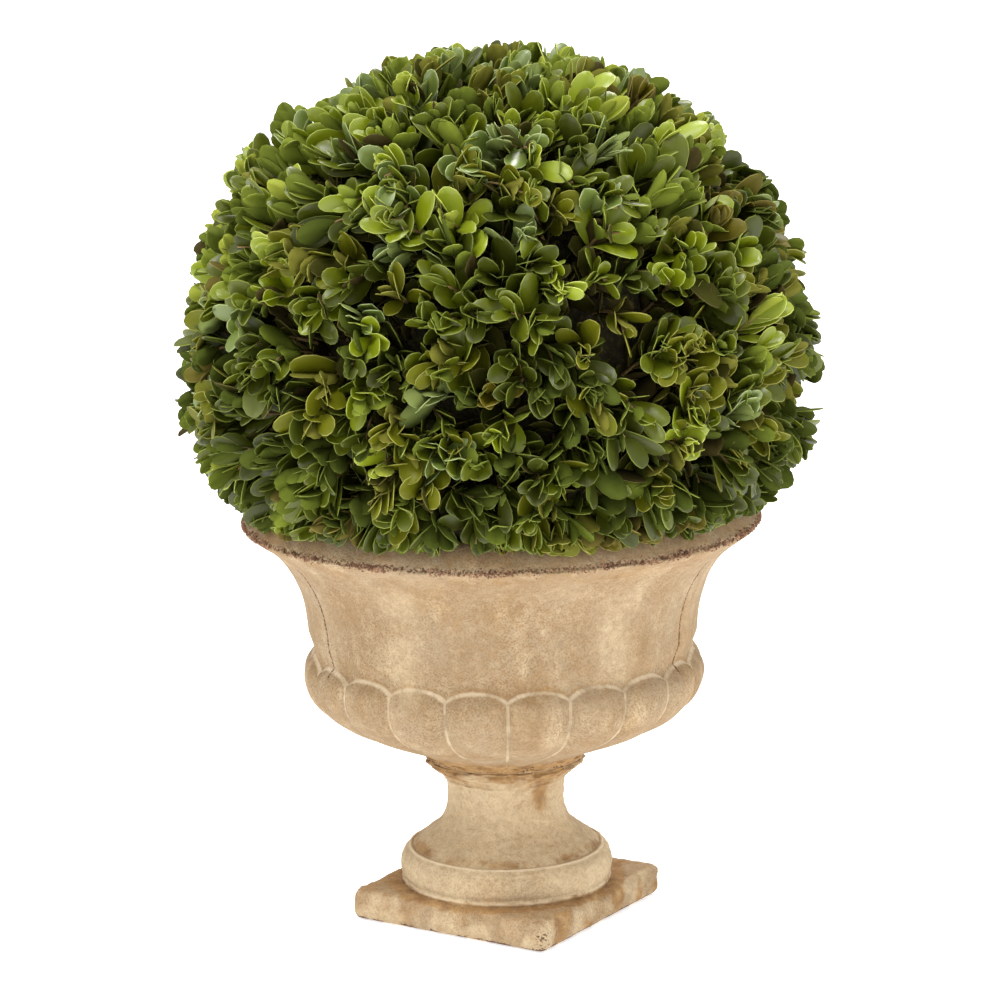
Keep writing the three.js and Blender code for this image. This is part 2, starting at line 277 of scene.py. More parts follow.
@dataclass(frozen=True)
class UrnFinish:
    """Aged cream paint on cast clay, with bloom, brown runs, pores and crumbled dark edges.

    Attributes:
        cream: The paint itself.
        tan: Its warmer patches.
        pale: Worn ridges and edges.
        bloom: Whitish streaks that run down, and the colour of light painted on the torus.
        ochre: Stains in hollows and the brown runs, and the shadow painted on the lip.
        umber: The darker parts of the stains.
        speckle: Fine grey-brown mottling.
        crumble: The dark body that shows where the edge has crumbled.

    A piece's points say where it has stains, wear, bloom, layers, crumbs, painted light and shadow.
    """

    cream: Colour = screen_colour(166, 145, 116)
    tan: Colour = screen_colour(152, 127, 94)
    pale: Colour = screen_colour(226, 208, 178)
    bloom: Colour = screen_colour(222, 202, 166)
    ochre: Colour = screen_colour(168, 131, 83)
    umber: Colour = screen_colour(138, 100, 60)
    speckle: Colour = screen_colour(130, 102, 70)
    crumble: Colour = screen_colour(84, 54, 38)

    def build(self) -> bpy.types.Material:
        """Makes the material."""
        graph = Graph("urn_aged_cream")
        place = graph.place()

        def cloud(
            size: float, detail: float, low: float, high: float, height: float = 0.0
        ) -> Value:
            """Gives a cloudy mask, from its patches' size and the levels of its rise."""
            return graph.noise(place, size, detail, height).rising(low, high)

        broad = cloud(30, 1.0, 0.42, 0.6)
        rough_edge = graph.noise(place, 2.6, 3.0) - 0.5
        # The bloom mark also carries light painted on the pedestal's torus
        bloom_and_painted_light = (graph.mark("bloom") + rough_edge * 0.7).rising(0.1, 1.05)
        # The stain mark also carries shadow painted on the bowl's lip
        stain_and_painted_shadow = (graph.mark("stain") + rough_edge * 1.3).rising(0.15, 0.85)
        worn = (graph.mark("wear") + rough_edge * 0.7).rising(0.3, 0.9)
        rust_and_shadow = graph.blend(cloud(7, 4.0, 0.42, 0.62), self.ochre, self.umber)
        grain = cloud(0.85, 2.0, 0.44, 0.66)
        pores = cloud(1.3, 2.0, 0.62, 0.74)
        strata, layered = graph.noise(place, 8, 4.0, height=1.5), graph.mark("strata")
        cracks = strata.rising(0.56, 0.64) * layered
        crumbs = graph.noise(place, 1.1, 2.0) - 0.5
        broken = (graph.mark("crumble") + crumbs * 1.5).rising(0.42, 0.62)
        # How much of each layer shows, and its colour, from the lowest layer up
        layers = (
            (cloud(24, 3.0, 0.36, 0.7), self.tan),
            (cloud(13, 3.0, 0.52, 0.66, height=60) * (0.1 + 0.25 * broad), self.bloom),
            (cloud(17, 4.0, 0.56, 0.72, height=85) * 0.4, self.ochre),
            (cloud(5, 5.0, 0.5, 0.68) * 0.16, self.ochre),
            (bloom_and_painted_light * 0.6, self.bloom),
            (stain_and_painted_shadow * 0.88, rust_and_shadow),
            (cloud(3.2, 4.0, 0.44, 0.6) * 0.16, self.speckle),
            (cloud(4.2, 5.0, 0.5, 0.66) * 0.14, self.bloom),
            (grain * (0.46 + 0.22 * broad) * (1 - 0.6 * bloom_and_painted_light), self.speckle),
            (pores * 0.3, self.umber),
            (worn * 0.7, self.pale),
            (strata.rising(0.4, 0.6) * layered * 0.7, rust_and_shadow),
            (cracks * 0.8, self.crumble),
            (broken * 0.9, self.crumble),
        )
        colour = self.cream
        for mask, over in layers:
            colour = graph.blend(mask, colour, over)
        roughness = 0.8 + 0.14 * graph.noise(place, 5)
        relief = grain * 0.25 + graph.noise(place, 4) * 0.4 - pores * 0.4 - broken * 0.5 - cracks
        return graph.finish(colour, roughness, relief, 0.26, Specular_IOR_Level=0.22)


@dataclass(frozen=True)
class CrumbFinish:
    """Dark crumbled body of the urn where its rim's edge has broken.

    Attributes:
        dark: Most of the crumbs.
        warm: The lighter crumbs among them.
    """

    dark: Colour = screen_colour(118, 80, 60)
    warm: Colour = screen_colour(172, 134, 102)

    def build(self) -> bpy.types.Material:
        """Makes the material."""
        graph = Graph("urn_crumbled_edge")
        place = graph.place()
        colour = graph.blend(graph.noise(place, 3.5).rising(0.45, 0.7), self.dark, self.warm)
        return graph.finish(colour, 0.95, graph.noise(place, 0.5), 0.15)


@dataclass(frozen=True)
class BarkFinish:
    """Grey-brown bark with long cracks.

    Attributes:
        name: Name of the material.
        ridge: The ridges.
        crack: The cracks between them.
        length: Length of the cracks in millimetres.
    """

    name: str
    ridge: Colour
    crack: Colour
    length: float

    def build(self) -> bpy.types.Material:
        """Makes the material."""
        graph = Graph(self.name)
        place = graph.place()
        cracks = graph.noise(place, self.length / 6, 4.0, height=self.length)
        colour = graph.blend(cracks.rising(0.4, 0.62), self.crack, self.ridge)
        return graph.finish(colour, 0.88, cracks, 0.3)


@dataclass(frozen=True)
class TwigFinish:
    """Young twigs, plain in colour so that the thin joined pieces keep it.

    Attributes:
        bark: Colour of the bark.
    """

    bark: Colour = screen_colour(138, 112, 70)

    def build(self) -> bpy.types.Material:
        """Makes the material."""
        graph = Graph("twig_bark")
        place = graph.place()
        roughness = 0.62 + 0.25 * graph.noise(place, 2)
        return graph.finish(self.bark, roughness, graph.noise(place, 0.8), 0.1)


@dataclass(frozen=True)
class SoilFinish:
    """Dark, damp potting mix with paler bits of bark and fibre.

    Attributes:
        mix: The dark mix.
        fibre: The paler bits.
    """

    mix: Colour = screen_colour(48, 36, 27)
    fibre: Colour = screen_colour(110, 84, 58)

    def build(self) -> bpy.types.Material:
        """Makes the material."""
        graph = Graph("soil_potting_mix")
        place = graph.place()
        clods = graph.noise(place, 5, 5.0)
        bits = graph.noise(place, 1.8, 2.0).rising(0.6, 0.66)
        colour = graph.blend(bits * 0.8, self.mix, self.fibre)
        return graph.finish(colour, 0.97, clods + bits * 0.3, 2.0)


@dataclass(frozen=True)
class MossAndShadeFinish:
    """Dark dry moss wrapped round the inner ball, darkened as painted shade deep in the crown.

    Attributes:
        shade: The deep moss, whose darkness is painted shade.
        tuft: Tips of its tufts.
    """

    shade: Colour = screen_colour(46, 40, 20)
    tuft: Colour = screen_colour(70, 68, 28)

    def build(self) -> bpy.types.Material:
        """Makes the material."""
        graph = Graph("inner_moss")
        place = graph.place()
        tufts = graph.noise(place, 3, 5.0)
        colour = graph.blend(tufts.rising(0.48, 0.7), self.shade, self.tuft)
        return graph.finish(colour, 0.97, tufts, 2.0)


@dataclass(frozen=True)
class LeafFinish:
    """One tint of leaf: glossy above, dull below, with a thin pale margin.

    Attributes:
        name: Name of the tint.
        upper: Colour of the upper side.
        under: Colour of the underside.
        margin: Colour of the margin.
        gloss: Roughness of the upper side where it shines most.
        shine: Strength of the upper side's reflection.
    """

    name: str
    upper: Colour
    under: Colour
    margin: Colour
    gloss: float
    shine: float

    def build(self) -> list[bpy.types.Material]:
        """Makes the three materials in the order of the blade's faces."""
        return [
            self.side("upper", self.upper, (self.gloss, 0.3), 0.05, self.shine),
            self.side("under", self.under, (0.7, 0.2), 0.06, 0.08),
            self.side("margin", self.margin, (0.65, 0.15), 0.03, 0.08),
        ]

    def side(
        self, side: str, colour: Colour, gloss: Pair, depth: float, shine: float
    ) -> bpy.types.Material:
        """Makes one material of the blade.

        Args:
            side: Name of the side.
            colour: Its colour.
            gloss: Its lowest roughness, and how much rougher its dull patches are.
            depth: Depth of its relief in millimetres.
            shine: Strength of its reflection.

        Returns:
            The material.
        """
        graph = Graph(f"leaf_{self.name}_{side}")
        place = graph.place()
        roughness = gloss[0] + gloss[1] * graph.noise(place, 6, 2.0)
        relief = graph.noise(place, 1.6, 2.0)
        return graph.finish(colour, roughness, relief, depth, Specular_IOR_Level=shine)


@dataclass(frozen=True)
class FloorFinish:
    """Plain pale studio floor, lit a little from below as a light table is.

    Attributes:
        pale: Its colour.
        glow: How strongly it is lit from below.
    """

    pale: Colour = (0.8, 0.8, 0.8)
    glow: float = 0.66

    def build(self) -> bpy.types.Material:
        """Makes the material."""
        graph = Graph("studio_floor")
        grain = graph.noise(graph.place(), 40, 2.0)
        return graph.finish(
            self.pale, 0.85 + 0.1 * grain, grain, 0.01,
            Emission_Color=(1.0, 1.0, 1.0, 1.0), Emission_Strength=self.glow,
        )


class Tint(Enum):
    """Tints of the leaves: the share of the sprays, and how much commoner towards the top."""

    # The second number leans pale tints to the top and deep ones low, as painted light and shade
    DEEP = (0.22, -0.8)
    GREEN = (0.31, 0.0)
    FRESH = (0.16, 1.3)
    LIME = (0.05, 1.5)
    OLIVE = (0.13, -0.3)
    # Grey-green leaves: partly their own tone, partly a painted sheen of the light from above
    GREY = (0.06, 1.7)
    BRONZE = (0.02, -0.4)
    # SHADE paints shade on the inner leaves deep in the crown, and is worn leaves' dull colour
    SHADE = (0.0, 0.0)


# Name, tones of the upper side, the underside and the margin, then gloss and shine
LEAF_TONES = {
    Tint.DEEP: ("deep", (62, 69, 5), (74, 84, 28), (112, 122, 52), 0.28, 0.42),
    Tint.GREEN: ("green", (87, 95, 5), (94, 105, 34), (140, 150, 68), 0.26, 0.5),
    Tint.FRESH: ("fresh", (118, 130, 8), (118, 130, 44), (164, 174, 82), 0.24, 0.6),
    Tint.LIME: ("lime", (142, 156, 28), (146, 154, 56), (198, 204, 112), 0.26, 0.6),
    Tint.OLIVE: ("olive", (98, 100, 12), (110, 108, 40), (152, 150, 74), 0.34, 0.2),
    # The grey-green tones are raised into a painted sheen over the leaves' own tone
    Tint.GREY: ("grey_green_sheen", (108, 124, 54), (118, 130, 70), (170, 182, 126), 0.22, 0.8),
    Tint.BRONZE: ("bronze", (94, 86, 16), (104, 94, 42), (138, 126, 68), 0.34, 0.2),
    # The shade tones are painted shade for the crown's depths, and worn leaves' own dull colour
    Tint.SHADE: ("shade", (58, 58, 16), (66, 58, 28), (100, 92, 50), 0.6, 0.1),
}
LEAF_FINISHES = {
    tint: LeafFinish(name, *(screen_colour(*tone) for tone in tones), gloss, shine)
    for tint, (name, *tones, gloss, shine) in LEAF_TONES.items()
}


class Outline:
    """Outline of a turned piece as radius and height in millimetres, from axis to axis."""

    def __init__(self, radius: float, height: float) -> None:
        """Starts the outline.

        Args:
            radius: Radius of its first point.
            height: Height of its first point.
        """
        self.points = [np.array((radius, height))]

    def to(self, spacing: float, *handles: Point) -> "Outline":
        """Draws on: a line to one point, or a curve that further handles pull.

        Args:
            spacing: Wanted distance between the points of the mesh.
            *handles: The handles in order, and last the end point.

        Returns:
            The outline, to draw on from.
        """
        controls = np.array([self.points[-1], *handles])
        length = np.linalg.norm(np.diff(controls, axis=0), axis=1).sum()
        count = max(1, round(length / spacing))
        for step in range(1, count + 1):
            level = controls
            while len(level) > 1:
                level = level[:-1] + np.diff(level, axis=0) * (step / count)
            self.points.append(level[0])
        return self

    def radius_at(self, height: np.ndarray) -> np.ndarray:
        """Gives the radius at some heights, on the part of the outline that rises.

        Args:
            height: The heights.

        Returns:
            The radii.
        """
        points = np.array(self.points)
        rising = points[: int(points[:, 1].argmax()) + 1]
        return np.interp(height, rising[:, 1], rising[:, 0])


def start_fresh() -> None:
    """Leaves nothing selected, so that an operator acts only on what comes next."""
    if bpy.context.object and bpy.context.object.mode != "OBJECT":
        bpy.ops.object.mode_set(mode="OBJECT")
    bpy.ops.object.select_all(action="DESELECT")


def turn_piece(outline: Outline, columns: int, name: str) -> bpy.types.Object:
    """Turns an outline about the upright axis, as one closed mesh.

    Args:
        outline: The outline, which starts and ends on the axis.
        columns: Number of columns of faces round the piece.
        name: Name of the piece.

    Returns:
        The piece.
    """
    points = [Vector((radius, 0, height)) * MM for radius, height in outline.points]
    start_fresh()
    bpy.ops.mesh.primitive_plane_add(size=MM)
    piece = bpy.context.object
    bpy.ops.object.mode_set(mode="EDIT")
    bpy.ops.mesh.select_mode(type="VERT")
    bpy.ops.mesh.select_all(action="SELECT")
    bpy.ops.mesh.merge(type="CENTER")
    bpy.ops.transform.translate(value=points[0])
    for before, after in zip(points, points[1:]):
        bpy.ops.mesh.extrude_region_move(TRANSFORM_OT_translate={"value": after - before})
    bpy.ops.mesh.select_all(action="SELECT")
    bpy.ops.mesh.spin(steps=columns, angle=TURN, center=(0, 0, 0), axis=(0, 0, 1))
    bpy.ops.mesh.select_all(action="SELECT")
    bpy.ops.mesh.remove_doubles(threshold=0.002 * MM)
    bpy.ops.mesh.normals_make_consistent(inside=False)
    bpy.ops.object.mode_set(mode="OBJECT")
    piece.name = piece.data.name = name
    return piece


def read_points(piece: bpy.types.Object) -> np.ndarray:
    """Gives the points of a piece in millimetres."""
    flat = np.empty(len(piece.data.vertices) * 3)
    piece.data.vertices.foreach_get("co", flat)
    return flat.reshape(-1, 3) / MM


def write_points(piece: bpy.types.Object, points: np.ndarray) -> None:
    """Moves the points of a piece.

    Args:
        piece: The piece.
        points: Their new places in millimetres.
    """
    piece.data.vertices.foreach_set("co", (points * MM).ravel())
    piece.data.update()


def settle(piece: bpy.types.Object, points: np.ndarray, level: float = 0.0) -> None:
    """Gives a piece its final points and shades it smoothly all over.

    Args:
        piece: The piece.
        points: The points in millimetres.
        level: How far they are raised.
    """
    write_points(piece, points + (0, 0, level))
    piece.data.polygons.foreach_set("use_smooth", np.ones(len(piece.data.polygons), bool))


def write_marks(piece: bpy.types.Object, marks: dict[str, np.ndarray]) -> None:
    """Stores numbers at each point of a piece, which its material reads.

    They are mostly bells about a height or a radius, times the strength of the stain there.

    Args:
        piece: The piece.
        marks: The numbers by the name of their attribute, kept from 0 to 1.
    """
    for name, values in marks.items():
        attribute = piece.data.attributes.new(name, "FLOAT", "POINT")
        attribute.data.foreach_set("value", np.clip(values, 0, 1))


def bevel_edges(
    piece: bpy.types.Object, chosen: Callable[[Vector, Vector], bool], width: float, segments: int
) -> None:
    """Bevels some edges of a piece.

    Args:
        piece: The piece.
        chosen: Says from its two ends whether an edge is bevelled.
        width: Width of the bevel in millimetres.
        segments: How many faces run across it.
    """
    bpy.ops.object.mode_set(mode="EDIT")
    bpy.ops.mesh.select_mode(type="EDGE")
    bpy.ops.mesh.select_all(action="DESELECT")
    bpy.ops.object.mode_set(mode="OBJECT")
    for edge in piece.data.edges:
        edge.select = chosen(*(piece.data.vertices[end].co for end in edge.vertices))
    bpy.ops.object.mode_set(mode="EDIT")
    bpy.ops.mesh.bevel(offset=width * MM, segments=segments)
    bpy.ops.object.mode_set(mode="OBJECT")


def polar(points: np.ndarray) -> tuple[np.ndarray, np.ndarray, np.ndarray]:
    """Gives radius, angle and height of some points about the upright axis."""
    x, y, height = points.T
    return np.hypot(x, y), np.arctan2(y, x), height


def from_polar(radius: np.ndarray, angle: np.ndarray, height: np.ndarray) -> np.ndarray:
    """Gives the points that lie at some radii, angles and heights."""
    return np.stack((radius * np.cos(angle), radius * np.sin(angle), height), axis=-1)


def bell(distance: np.ndarray, width: float) -> np.ndarray:
    """Gives 1 at no distance, falling away over a width on both sides."""
    return np.exp(-((distance / width) ** 2))


def ramp(values: np.ndarray, start: float, end: float) -> np.ndarray:
    """Gives 0 up to one level, 1 from another, and a straight change between them."""
    return np.clip((values - start) / (end - start), 0, 1)


def lumps(points: np.ndarray, size: float, seed: int, flatness: float = 1.0) -> np.ndarray:
    """Gives smooth random lumps at some points, mostly between -2 and 2.

    Args:
        points: The points in millimetres.
        size: Distance from lump to lump.
        seed: Start of the random numbers.
        flatness: How many times lower than wide the lumps are.

    Returns:
        A number for each point.
    """
    draws = np.random.default_rng(seed)
    waves = 20
    direction = draws.normal(size=(waves, 3))
    direction /= np.linalg.norm(direction, axis=1, keepdims=True)
    direction *= (TURN / size) * draws.uniform(0.6, 1.4, (waves, 1))
    direction[:, 2] *= flatness
    phase = draws.uniform(0, TURN, waves)
    return np.cos(points @ direction.T + phase).sum(axis=-1) * math.sqrt(2 / waves)


def angle_gap(angle: np.ndarray, marks: np.ndarray) -> np.ndarray:
    """Gives how far some angles are from the nearest of some marked ones."""
    gaps = (angle[:, None] - marks[None, :] + math.pi) % TURN - math.pi
    return np.abs(gaps).min(axis=1)


def beside(angle: np.ndarray, radius: np.ndarray, sides: np.ndarray, width: float) -> np.ndarray:
    """Gives 1 on upright lines at some angles, falling away over a width round the piece."""
    return bell(angle_gap(angle, sides) * radius, width)


def patches(
    points: np.ndarray, size: float, seed: int, middle: float, swing: float, limits: Pair
) -> np.ndarray:
    """Gives uneven patches at some points.

    Args:
        points: The points in millimetres.
        size: Distance from patch to patch.
        seed: Start of the random numbers.
        middle: Their middle value.
        swing: How far they swing about it.
        limits: Their lowest and highest value.

    Returns:
        A number for each point.
    """
    return np.clip(middle + swing * lumps(points, size, seed), *limits)


def crowd_columns(piece: bpy.types.Object, columns: int, marks: np.ndarray) -> None:
    """Draws the columns of a turned piece together near some angles, where it has fine detail.

    Args:
        piece: The piece.
        columns: Number of its columns.
        marks: The angles that need the detail.
    """
    crowding, reach, samples = 4.0, 0.03, 20001
    dense = np.linspace(-math.pi, math.pi, samples)
    density = 1 + crowding * bell(angle_gap(dense, marks), reach)
    share = np.concatenate(([0], np.cumsum((density[1:] + density[:-1]) / 2)))
    places = np.interp(np.arange(columns) / columns, share / share[-1], dense)
    radius, angle, height = polar(read_points(piece))
    column = np.round((angle + math.pi) / (TURN / columns)).astype(int) % columns
    write_points(piece, from_polar(radius, places[column], height))


def join_copies(
    name: str, copies: np.ndarray, faces: list[tuple[int, ...]], slots: list[int],
    flat_slots: tuple[int, ...] = (),
) -> bpy.types.Object:
    """Joins many copies of one small form into a piece.

    Args:
        name: Name of the piece.
        copies: Points of each copy in millimetres, by copy and point.
        faces: Corners of the form's faces, by point of the form.
        slots: Number of each face's material.
        flat_slots: Materials whose faces stay flat.

    Returns:
        The piece.
    """
    count, form_points = copies.shape[:2]
    corners = np.concatenate([np.array(face) for face in faces])
    sizes = np.tile([len(face) for face in faces], count)
    all_corners = (corners[None, :] + form_points * np.arange(count)[:, None]).ravel()
    mesh = bpy.data.meshes.new(name)
    mesh.vertices.add(count * form_points)
    mesh.vertices.foreach_set("co", (copies * MM).ravel())
    mesh.loops.add(len(all_corners))
    mesh.loops.foreach_set("vertex_index", all_corners)
    mesh.polygons.add(len(sizes))
    mesh.polygons.foreach_set("loop_start", np.concatenate(([0], np.cumsum(sizes)[:-1])))
    mesh.polygons.foreach_set("material_index", np.tile(slots, count))
    smooth = np.array([slot not in flat_slots for slot in slots])
    mesh.polygons.foreach_set("use_smooth", np.tile(smooth, count))
    mesh.update(calc_edges=True)
    piece = bpy.data.objects.new(name, mesh)
    bpy.context.scene.collection.objects.link(piece)
    return piece


def dress(
    piece: bpy.types.Object, materials: list[bpy.types.Material], replaced: str = ""
) -> bpy.types.Object:
    """Gives a finished piece its materials and says what it belongs to.

    Args:
        piece: The piece.
        materials: Its materials in the order of its faces' numbers.
        replaced: The solid that it stands for, if any.

    Returns:
        The piece.
    """
    for material in materials:
        piece.data.materials.append(material)
    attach(piece, "root")
    if replaced:
        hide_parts(replaced)
    triangles = sum(len(face.vertices) - 2 for face in piece.data.polygons)
    LOG.info("%s: %d triangles", piece.name, triangles)
    return piece


# The side that the photograph shows, and where the urn is marked round its axis
FRONT = math.radians(-57.5)
BLOOM_SIDES = FRONT + np.array((-0.5, 0.58, 1.7, 2.9, -1.8))
BROWN_SIDES = FRONT + np.array((0.06, 2.2, -2.4))
DRIP_SIDES = FRONT + np.array((0.62, 2.6, -1.9))
POWDER_SIDES = FRONT + np.array((-0.35, 1.7, -2.6))
# Sides where light is painted on the torus as a paler band
PAINTED_LIGHT_SIDES = FRONT + np.array((0.85, 2.4, -1.3))
KNOCKED_SIDE = FRONT + 0.22


@dataclass
class GadroonedBowl:
    """Turned bowl with gadroons round its belly, a flared wall and a rolled, crumbled rim.

    Heights are above the bowl's own foot. A handle is a point that pulls a curve.
    """

    foot_level: float
    foot_radius: float = 34.3
    foot_handle: Point = (41.8, 11.5)
    belly_radius: float = 87.1
    belly_handle: float = 14.8
    belly_height: float = 38.8
    shoulder_handle: float = 47.6
    waist_radius: float = 84.2
    waist_handle_low: float = 45.2
    waist_height: float = 53.2
    waist_handle_high: float = 100.1
    flare_handle: Point = (115.8, 102.1)
    rim_radius: float = 111.5
    rim_height: float = 106.8
    rim_handle: Point = (111.6, 108.2)
    lip_handle: Point = (104.5, 116.4)
    lip_radius: float = 100.5
    lip_height: float = 117.0
    mouth_radius: float = 98.5
    throat: Point = (95.5, 110.0)
    throat_handle: Point = (94.0, 92.0)
    wall_radius: float = 76.0
    wall_handle_high: float = 92.0
    wall_height: float = 50.0
    wall_handle_low: float = 26.0
    floor_handle: Point = (66.0, 15.0)
    floor: Point = (42.0, 15.0)
    lobe_count: int = 20
    seam_angle: float = math.radians(15.5)
    lobe_rise: float = 4.2
    lobe_round: float = 9.0
    arch_foot: float = 44.3
    arch_rise: float = 4.0
    arch_power: float = 2.6
    ridge_rise: float = 0.5
    ridge_width: float = 0.7
    mould_angles: tuple[float, ...] = (
        math.radians(4.5), math.radians(122.5), math.radians(-119.5),
    )
    columns: int = 420
    fine: float = 1.5
    coarse: float = 5.0
    crumb_count: int = 3400
    crack_height: float = 2.2
    belly_fade: float = 14.0
    wall_foot: float = 40.0
    wall_top: float = 99.0
    mould_width: float = 0.8
    mould_depth: float = 0.45
    cast_relief: float = 0.16
    rim_relief: float = 0.35
    foot_relief: float = 0.5

    def outline(self) -> Outline:
        """Draws the bowl from the centre of its foot, up outside, and down inside."""
        fine, coarse = self.fine, self.coarse
        belly, waist, wall = self.belly_radius, self.waist_radius, self.wall_radius
        outline = Outline(0, 0).to(coarse, (self.foot_radius, 0))
        outline.to(fine, self.foot_handle, (belly, self.belly_handle), (belly, self.belly_height))
        outline.to(
            fine / 1.5, (belly, self.shoulder_handle), (waist, self.waist_handle_low),
            (waist, self.waist_height),
        )
        outline.to(
            fine, (waist, self.waist_handle_high), self.flare_handle,
            (self.rim_radius, self.rim_height),
        )
        outline.to(fine / 1.5, self.rim_handle, self.lip_handle, (self.lip_radius, self.lip_height))
        outline.to(fine, (self.mouth_radius, self.lip_height))
        outline.to(coarse, self.throat)
        outline.to(
            coarse, self.throat_handle, (wall, self.wall_handle_high), (wall, self.wall_height)
        )
        outline.to(coarse, (wall, self.wall_handle_low), self.floor_handle, self.floor)
        return outline.to(coarse, (0, self.floor[1]))

    def border(self, angle: np.ndarray, height: np.ndarray, radius: np.ndarray) -> np.ndarray:
        """Gives how far inside its gadroon each point lies, or outside where it is negative.

        Args:
            angle: Angles of the points.
            height: Heights of the points above the foot.
            radius: Radii of the points.

        Returns:
            The distances in millimetres.
        """
        lobe, arch_slope = TURN / self.lobe_count, 0.85
        share = ((angle - self.seam_angle) % lobe) / lobe * 2 - 1
        to_seam = (1 - np.abs(share)) * radius * lobe / 2
        arch = self.arch_foot + self.arch_rise * (1 - np.abs(share) ** self.arch_power)
        return np.minimum(to_seam, (arch - height) * arch_slope)

    def build(self, finish: UrnFinish) -> bpy.types.Object:
        """Builds the bowl.

        Args:
            finish: Finish of the urn.

        Returns:
            The finished piece.
        """
        outline = self.outline()
        piece = turn_piece(outline, self.columns, "urn_bowl_cast")
        seams = self.seam_angle + np.arange(self.lobe_count) * TURN / self.lobe_count
        crowd_columns(piece, self.columns, np.concatenate((seams, self.mould_angles)))
        radius, angle, height = polar(read_points(piece))
        slack, ends = 0.01, 0.1
        outside = radius > outline.radius_at(height) - slack
        outside &= (height > ends) & (height < self.lip_height - ends)

        border = self.border(angle, height, radius)
        on_belly = ramp(height, 0, self.belly_fade) * outside
        inside = ramp(border, 0, self.lobe_round)
        valley = self.lobe_rise * (1 - np.sqrt(1 - (1 - inside) ** 2))
        below_arch = (border > -2) & (height < self.arch_foot + self.arch_rise + 3)
        low = ramp(height, self.waist_height + 4, self.waist_height - 8)
        ridge = self.ridge_rise * bell(border, self.ridge_width) * below_arch
        radius = radius + on_belly * (ridge - np.minimum(valley, self.lobe_rise) * low)

        above_foot = ramp(height, self.wall_foot, self.wall_foot + 8)
        on_wall = above_foot * ramp(height, self.wall_top, self.wall_top - 6) * outside
        groove = beside(angle, radius, np.array(self.mould_angles), self.mould_width) * on_wall
        radius = radius - self.mould_depth * groove

        points = from_polar(radius, angle, height)
        at_rim = bell(height - self.rim_height - 0.3, 1.8) * outside
        at_foot = bell(height - self.crack_height, 4) * outside
        radius = radius + outside * self.cast_relief * lumps(points, 22, seed=1)
        radius = radius + at_rim * self.rim_relief * lumps(points, 2.6, seed=2)
        radius = radius + at_foot * self.foot_relief * lumps(points, 11, seed=3, flatness=7)
        points = from_polar(radius, angle, height)

        arch_line = bell(border + 1.2, 1.6) * below_arch * above_foot
        below_rim = bell(height - self.rim_height + 5, 5) * outside
        leaf_shadow_on_lip = (height > self.rim_height + 2) & (radius > self.throat[0])
        patchy = patches(points, 30, seed=4, middle=0.7, swing=0.35, limits=(0.2, 1.1))
        # The lip's share is painted shadow of the leaves hanging over it
        stain = (0.42 * arch_line + 0.4 * below_rim + 0.4 * leaf_shadow_on_lip) * patchy
        stain = stain + 1.1 * at_foot + 0.22 * beside(angle, radius, BROWN_SIDES, 26) * on_wall
        faded = patches(points, 14, seed=7, middle=0.85, swing=0.15, limits=(0.5, 1))
        ridge_paint = bell(border, 0.8) * faded
        streaks = np.clip(1.5 * beside(angle, radius, BLOOM_SIDES, 9.5) * on_wall, 0, 1)
        broken = patches(points, 26, seed=6, middle=0.42, swing=0.15, limits=(0.15, 0.6))
        crack = bell(height - 0.3 - 0.4 * lumps(points, 14, seed=5), 0.7) * outside
        write_marks(piece, {
            # The stain holds real stains and the shadow painted on the lip
            "stain": stain,
            "wear": ridge_paint * on_belly * below_arch,
            "bloom": streaks * broken,
            "crumble": 0.6 * crack + 0.78 * groove + 0.5 * at_rim,
            "strata": bell(height - self.crack_height, 2.6) * outside,
        })
        settle(piece, points, self.foot_level)
        return dress(piece, [finish.build()], "urn_bowl")

    def build_crumbs(self, finish: CrumbFinish) -> bpy.types.Object:
        """Builds the dark crumbs along the rim's outermost edge.

        Args:
            finish: Finish of the crumbs.

        Returns:
            The finished piece.
        """
        start_fresh()
        bpy.ops.mesh.primitive_ico_sphere_add(subdivisions=1, radius=MM)
        ball = bpy.context.object
        form = read_points(ball)
        faces = [tuple(face.vertices) for face in ball.data.polygons]
        bpy.data.objects.remove(ball)
        draws = np.random.default_rng(41)
        tried, below_edge, spread, gaps = self.crumb_count * 2, 0.3, 0.8, -0.5
        angle = draws.uniform(-math.pi, math.pi, tried)
        height = self.rim_height - below_edge + draws.normal(0, spread, tried)
        radius = self.outline().radius_at(height)
        centres = from_polar(radius, angle, height)
        kept = lumps(centres, 14, seed=42) + draws.normal(0, 0.7, tried) > gaps
        centres = centres[kept][: self.crumb_count]
        count = len(centres)
        size = draws.uniform(0.2, 0.52, (count, 1, 1)) * draws.uniform(0.7, 1.25, (count, 1, 3))
        copies = form[None] * size + draws.normal(0, 0.08, (count, len(form), 3))
        copies = copies + centres[:, None, :]
        copies[:, :, 2] += self.foot_level
        piece = join_copies("urn_rim_crumbs", copies, faces, [0] * len(faces), flat_slots=(0,))
        return dress(piece, [finish.build()])


